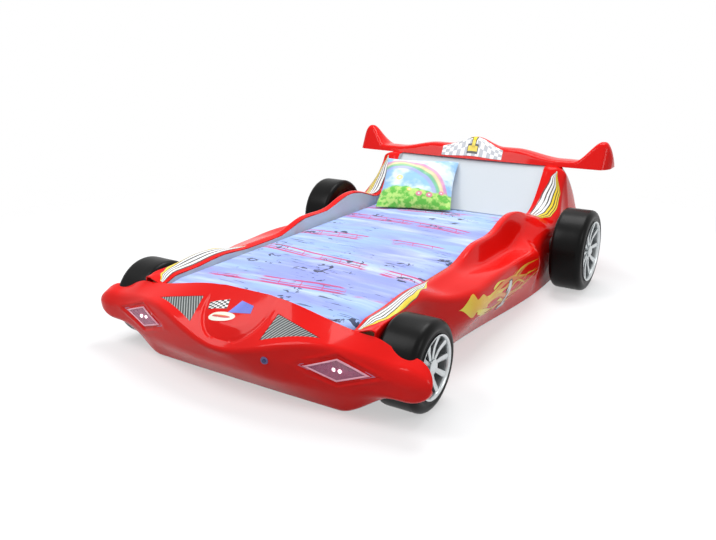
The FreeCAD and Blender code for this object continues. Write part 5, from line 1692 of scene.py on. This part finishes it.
@dataclass
class Studio:
    """Pale floor, soft light and the photograph's camera."""

    position: Vector = field(default_factory=lambda: Vector((1.484, -2.6205, 1.121)))
    azimuth: float = 31.83
    elevation: float = 18.22
    lens: float = 36.146
    shadow_reach: Pair = (1.5, 3.0)
    lights: tuple[tuple[str, Triple, float, float], ...] = (
        ("key_light", (-2.0, -2.4, 4.2), 2.2, 95), ("side_light", (4.5, -1.0, 3.0), 1.6, 40),
        ("top_light", (0.0, 1.5, 4.5), 2.4, 125))

    def build(self) -> None:
        """Makes the stage."""
        self.floor()
        for light in self.lights:
            self.light(*light)
        self.world()
        self.camera()
        bpy.context.scene.view_settings.view_transform = "Standard"

    def floor(self) -> None:
        """A plain pale floor that fades out round the bed."""
        Bench.clear()
        bpy.ops.mesh.primitive_plane_add(size=60, location=(0, 0, 0))
        floor = bpy.context.object
        floor.name = "studio_floor"
        paint = Paint("studio_white")
        x, y, _ = paint.place()
        reach = (x.power(2) + y.power(2)).power(0.5)
        shown = (1 - reach.ramp(*self.shadow_reach)) * 0.5
        floor.data.materials.append(paint.finish((0.93, 0.93, 0.94), 0.9, Alpha=shown))
        floor.location.z = -0.0005

    @staticmethod
    def light(name: str, place: Triple, size: float, power: float) -> None:
        """A soft area light that faces the bed's middle."""
        Bench.clear()
        bpy.ops.object.light_add(type="AREA", location=place)
        lamp = bpy.context.object
        lamp.name = name
        lamp.data.size = size
        lamp.data.energy = power
        lamp.rotation_euler = (Vector((0, 0, 0.2)) - Vector(place)).to_track_quat("-Z", "Y").to_euler()

    @staticmethod
    def world() -> None:
        """White to the camera and in reflections; as light a calmer grey, which darkens below the horizon."""
        world = bpy.data.worlds.new("studio_world")
        bpy.context.scene.world = world
        world.use_nodes = True
        nodes = Nodes(world.node_tree)
        nodes.tree.nodes.clear()
        place = nodes.node("ShaderNodeNewGeometry", {}, {}).outputs["Position"]
        up = nodes.node("ShaderNodeSeparateXYZ", {}, {0: place}).outputs["Z"]
        level = nodes.node("ShaderNodeMapRange", {}, {
            "Value": up, "From Min": -0.15, "From Max": 0.6, "To Min": 0.04, "To Max": 0.62})
        strength = level.outputs["Result"]
        lit = nodes.node("ShaderNodeBackground", {}, {"Color": (0.95, 0.97, 1.0), "Strength": strength})
        seen = nodes.node("ShaderNodeBackground", {}, {"Color": (1.0, 1.0, 1.0)})
        rays = nodes.node("ShaderNodeLightPath", {}, {})
        shown = rays.outputs["Is Camera Ray"]
        for ray in ("Is Glossy Ray", "Is Transmission Ray"):
            either = nodes.node("ShaderNodeMath", {"operation": "MAXIMUM"}, {0: shown, 1: rays.outputs[ray]})
            shown = either.outputs[0]
        mix = nodes.node("ShaderNodeMixShader", {}, {0: shown, 1: lit.outputs[0], 2: seen.outputs[0]})
        nodes.node("ShaderNodeOutputWorld", {}, {0: mix.outputs[0]})

    def camera(self) -> None:
        """The camera, found from the photograph's edges."""
        turn, dip = math.radians(self.azimuth), math.radians(self.elevation)
        ahead = Vector((-math.sin(turn) * math.cos(dip), math.cos(turn) * math.cos(dip), -math.sin(dip)))
        Bench.clear()
        bpy.ops.object.camera_add(location=self.position, rotation=ahead.to_track_quat("-Z", "Y").to_euler())
        camera = bpy.context.object
        camera.name = "photo_camera"
        camera.data.lens = self.lens
        camera.data.sensor_width = 36.0
        bpy.context.scene.camera = camera


class CarBed:
    """The whole bed."""

    WHEELS: tuple[dict[str, str | float], ...] = (
        {"end": "front", "tyre": 150.0, "width": 143.0, "rim": 100.0, "inset": 491.0, "place": 102.0},
        {"end": "rear", "tyre": 184.0, "width": 132.0, "rim": 131.0, "inset": 605.0, "place": 1488.0,
         "back": -10.0},
    )

    def build(self) -> None:
        """Makes every sub-assembly in turn."""
        for side in Side:
            skin = SideSkin(side)
            skin.build()
            skin.formers()
            skin.stripes()
            skin.flames()
        nose = NoseSkin()
        nose.build()
        NoseTrim(nose).build()
        WingSkin().build()
        for sizes in self.WHEELS:
            for side in Side:
                Wheel(side=side, **sizes).build()
        Bedding().build()
        Pillow().build()
        Dressing().build()


def main() -> None:
    """Builds the bed's looks and its studio."""
    logging.basicConfig(level=logging.INFO, format="%(name)s: %(message)s")
    CarBed().build()
    Studio().build()


if __name__ == "__main__":
    main()
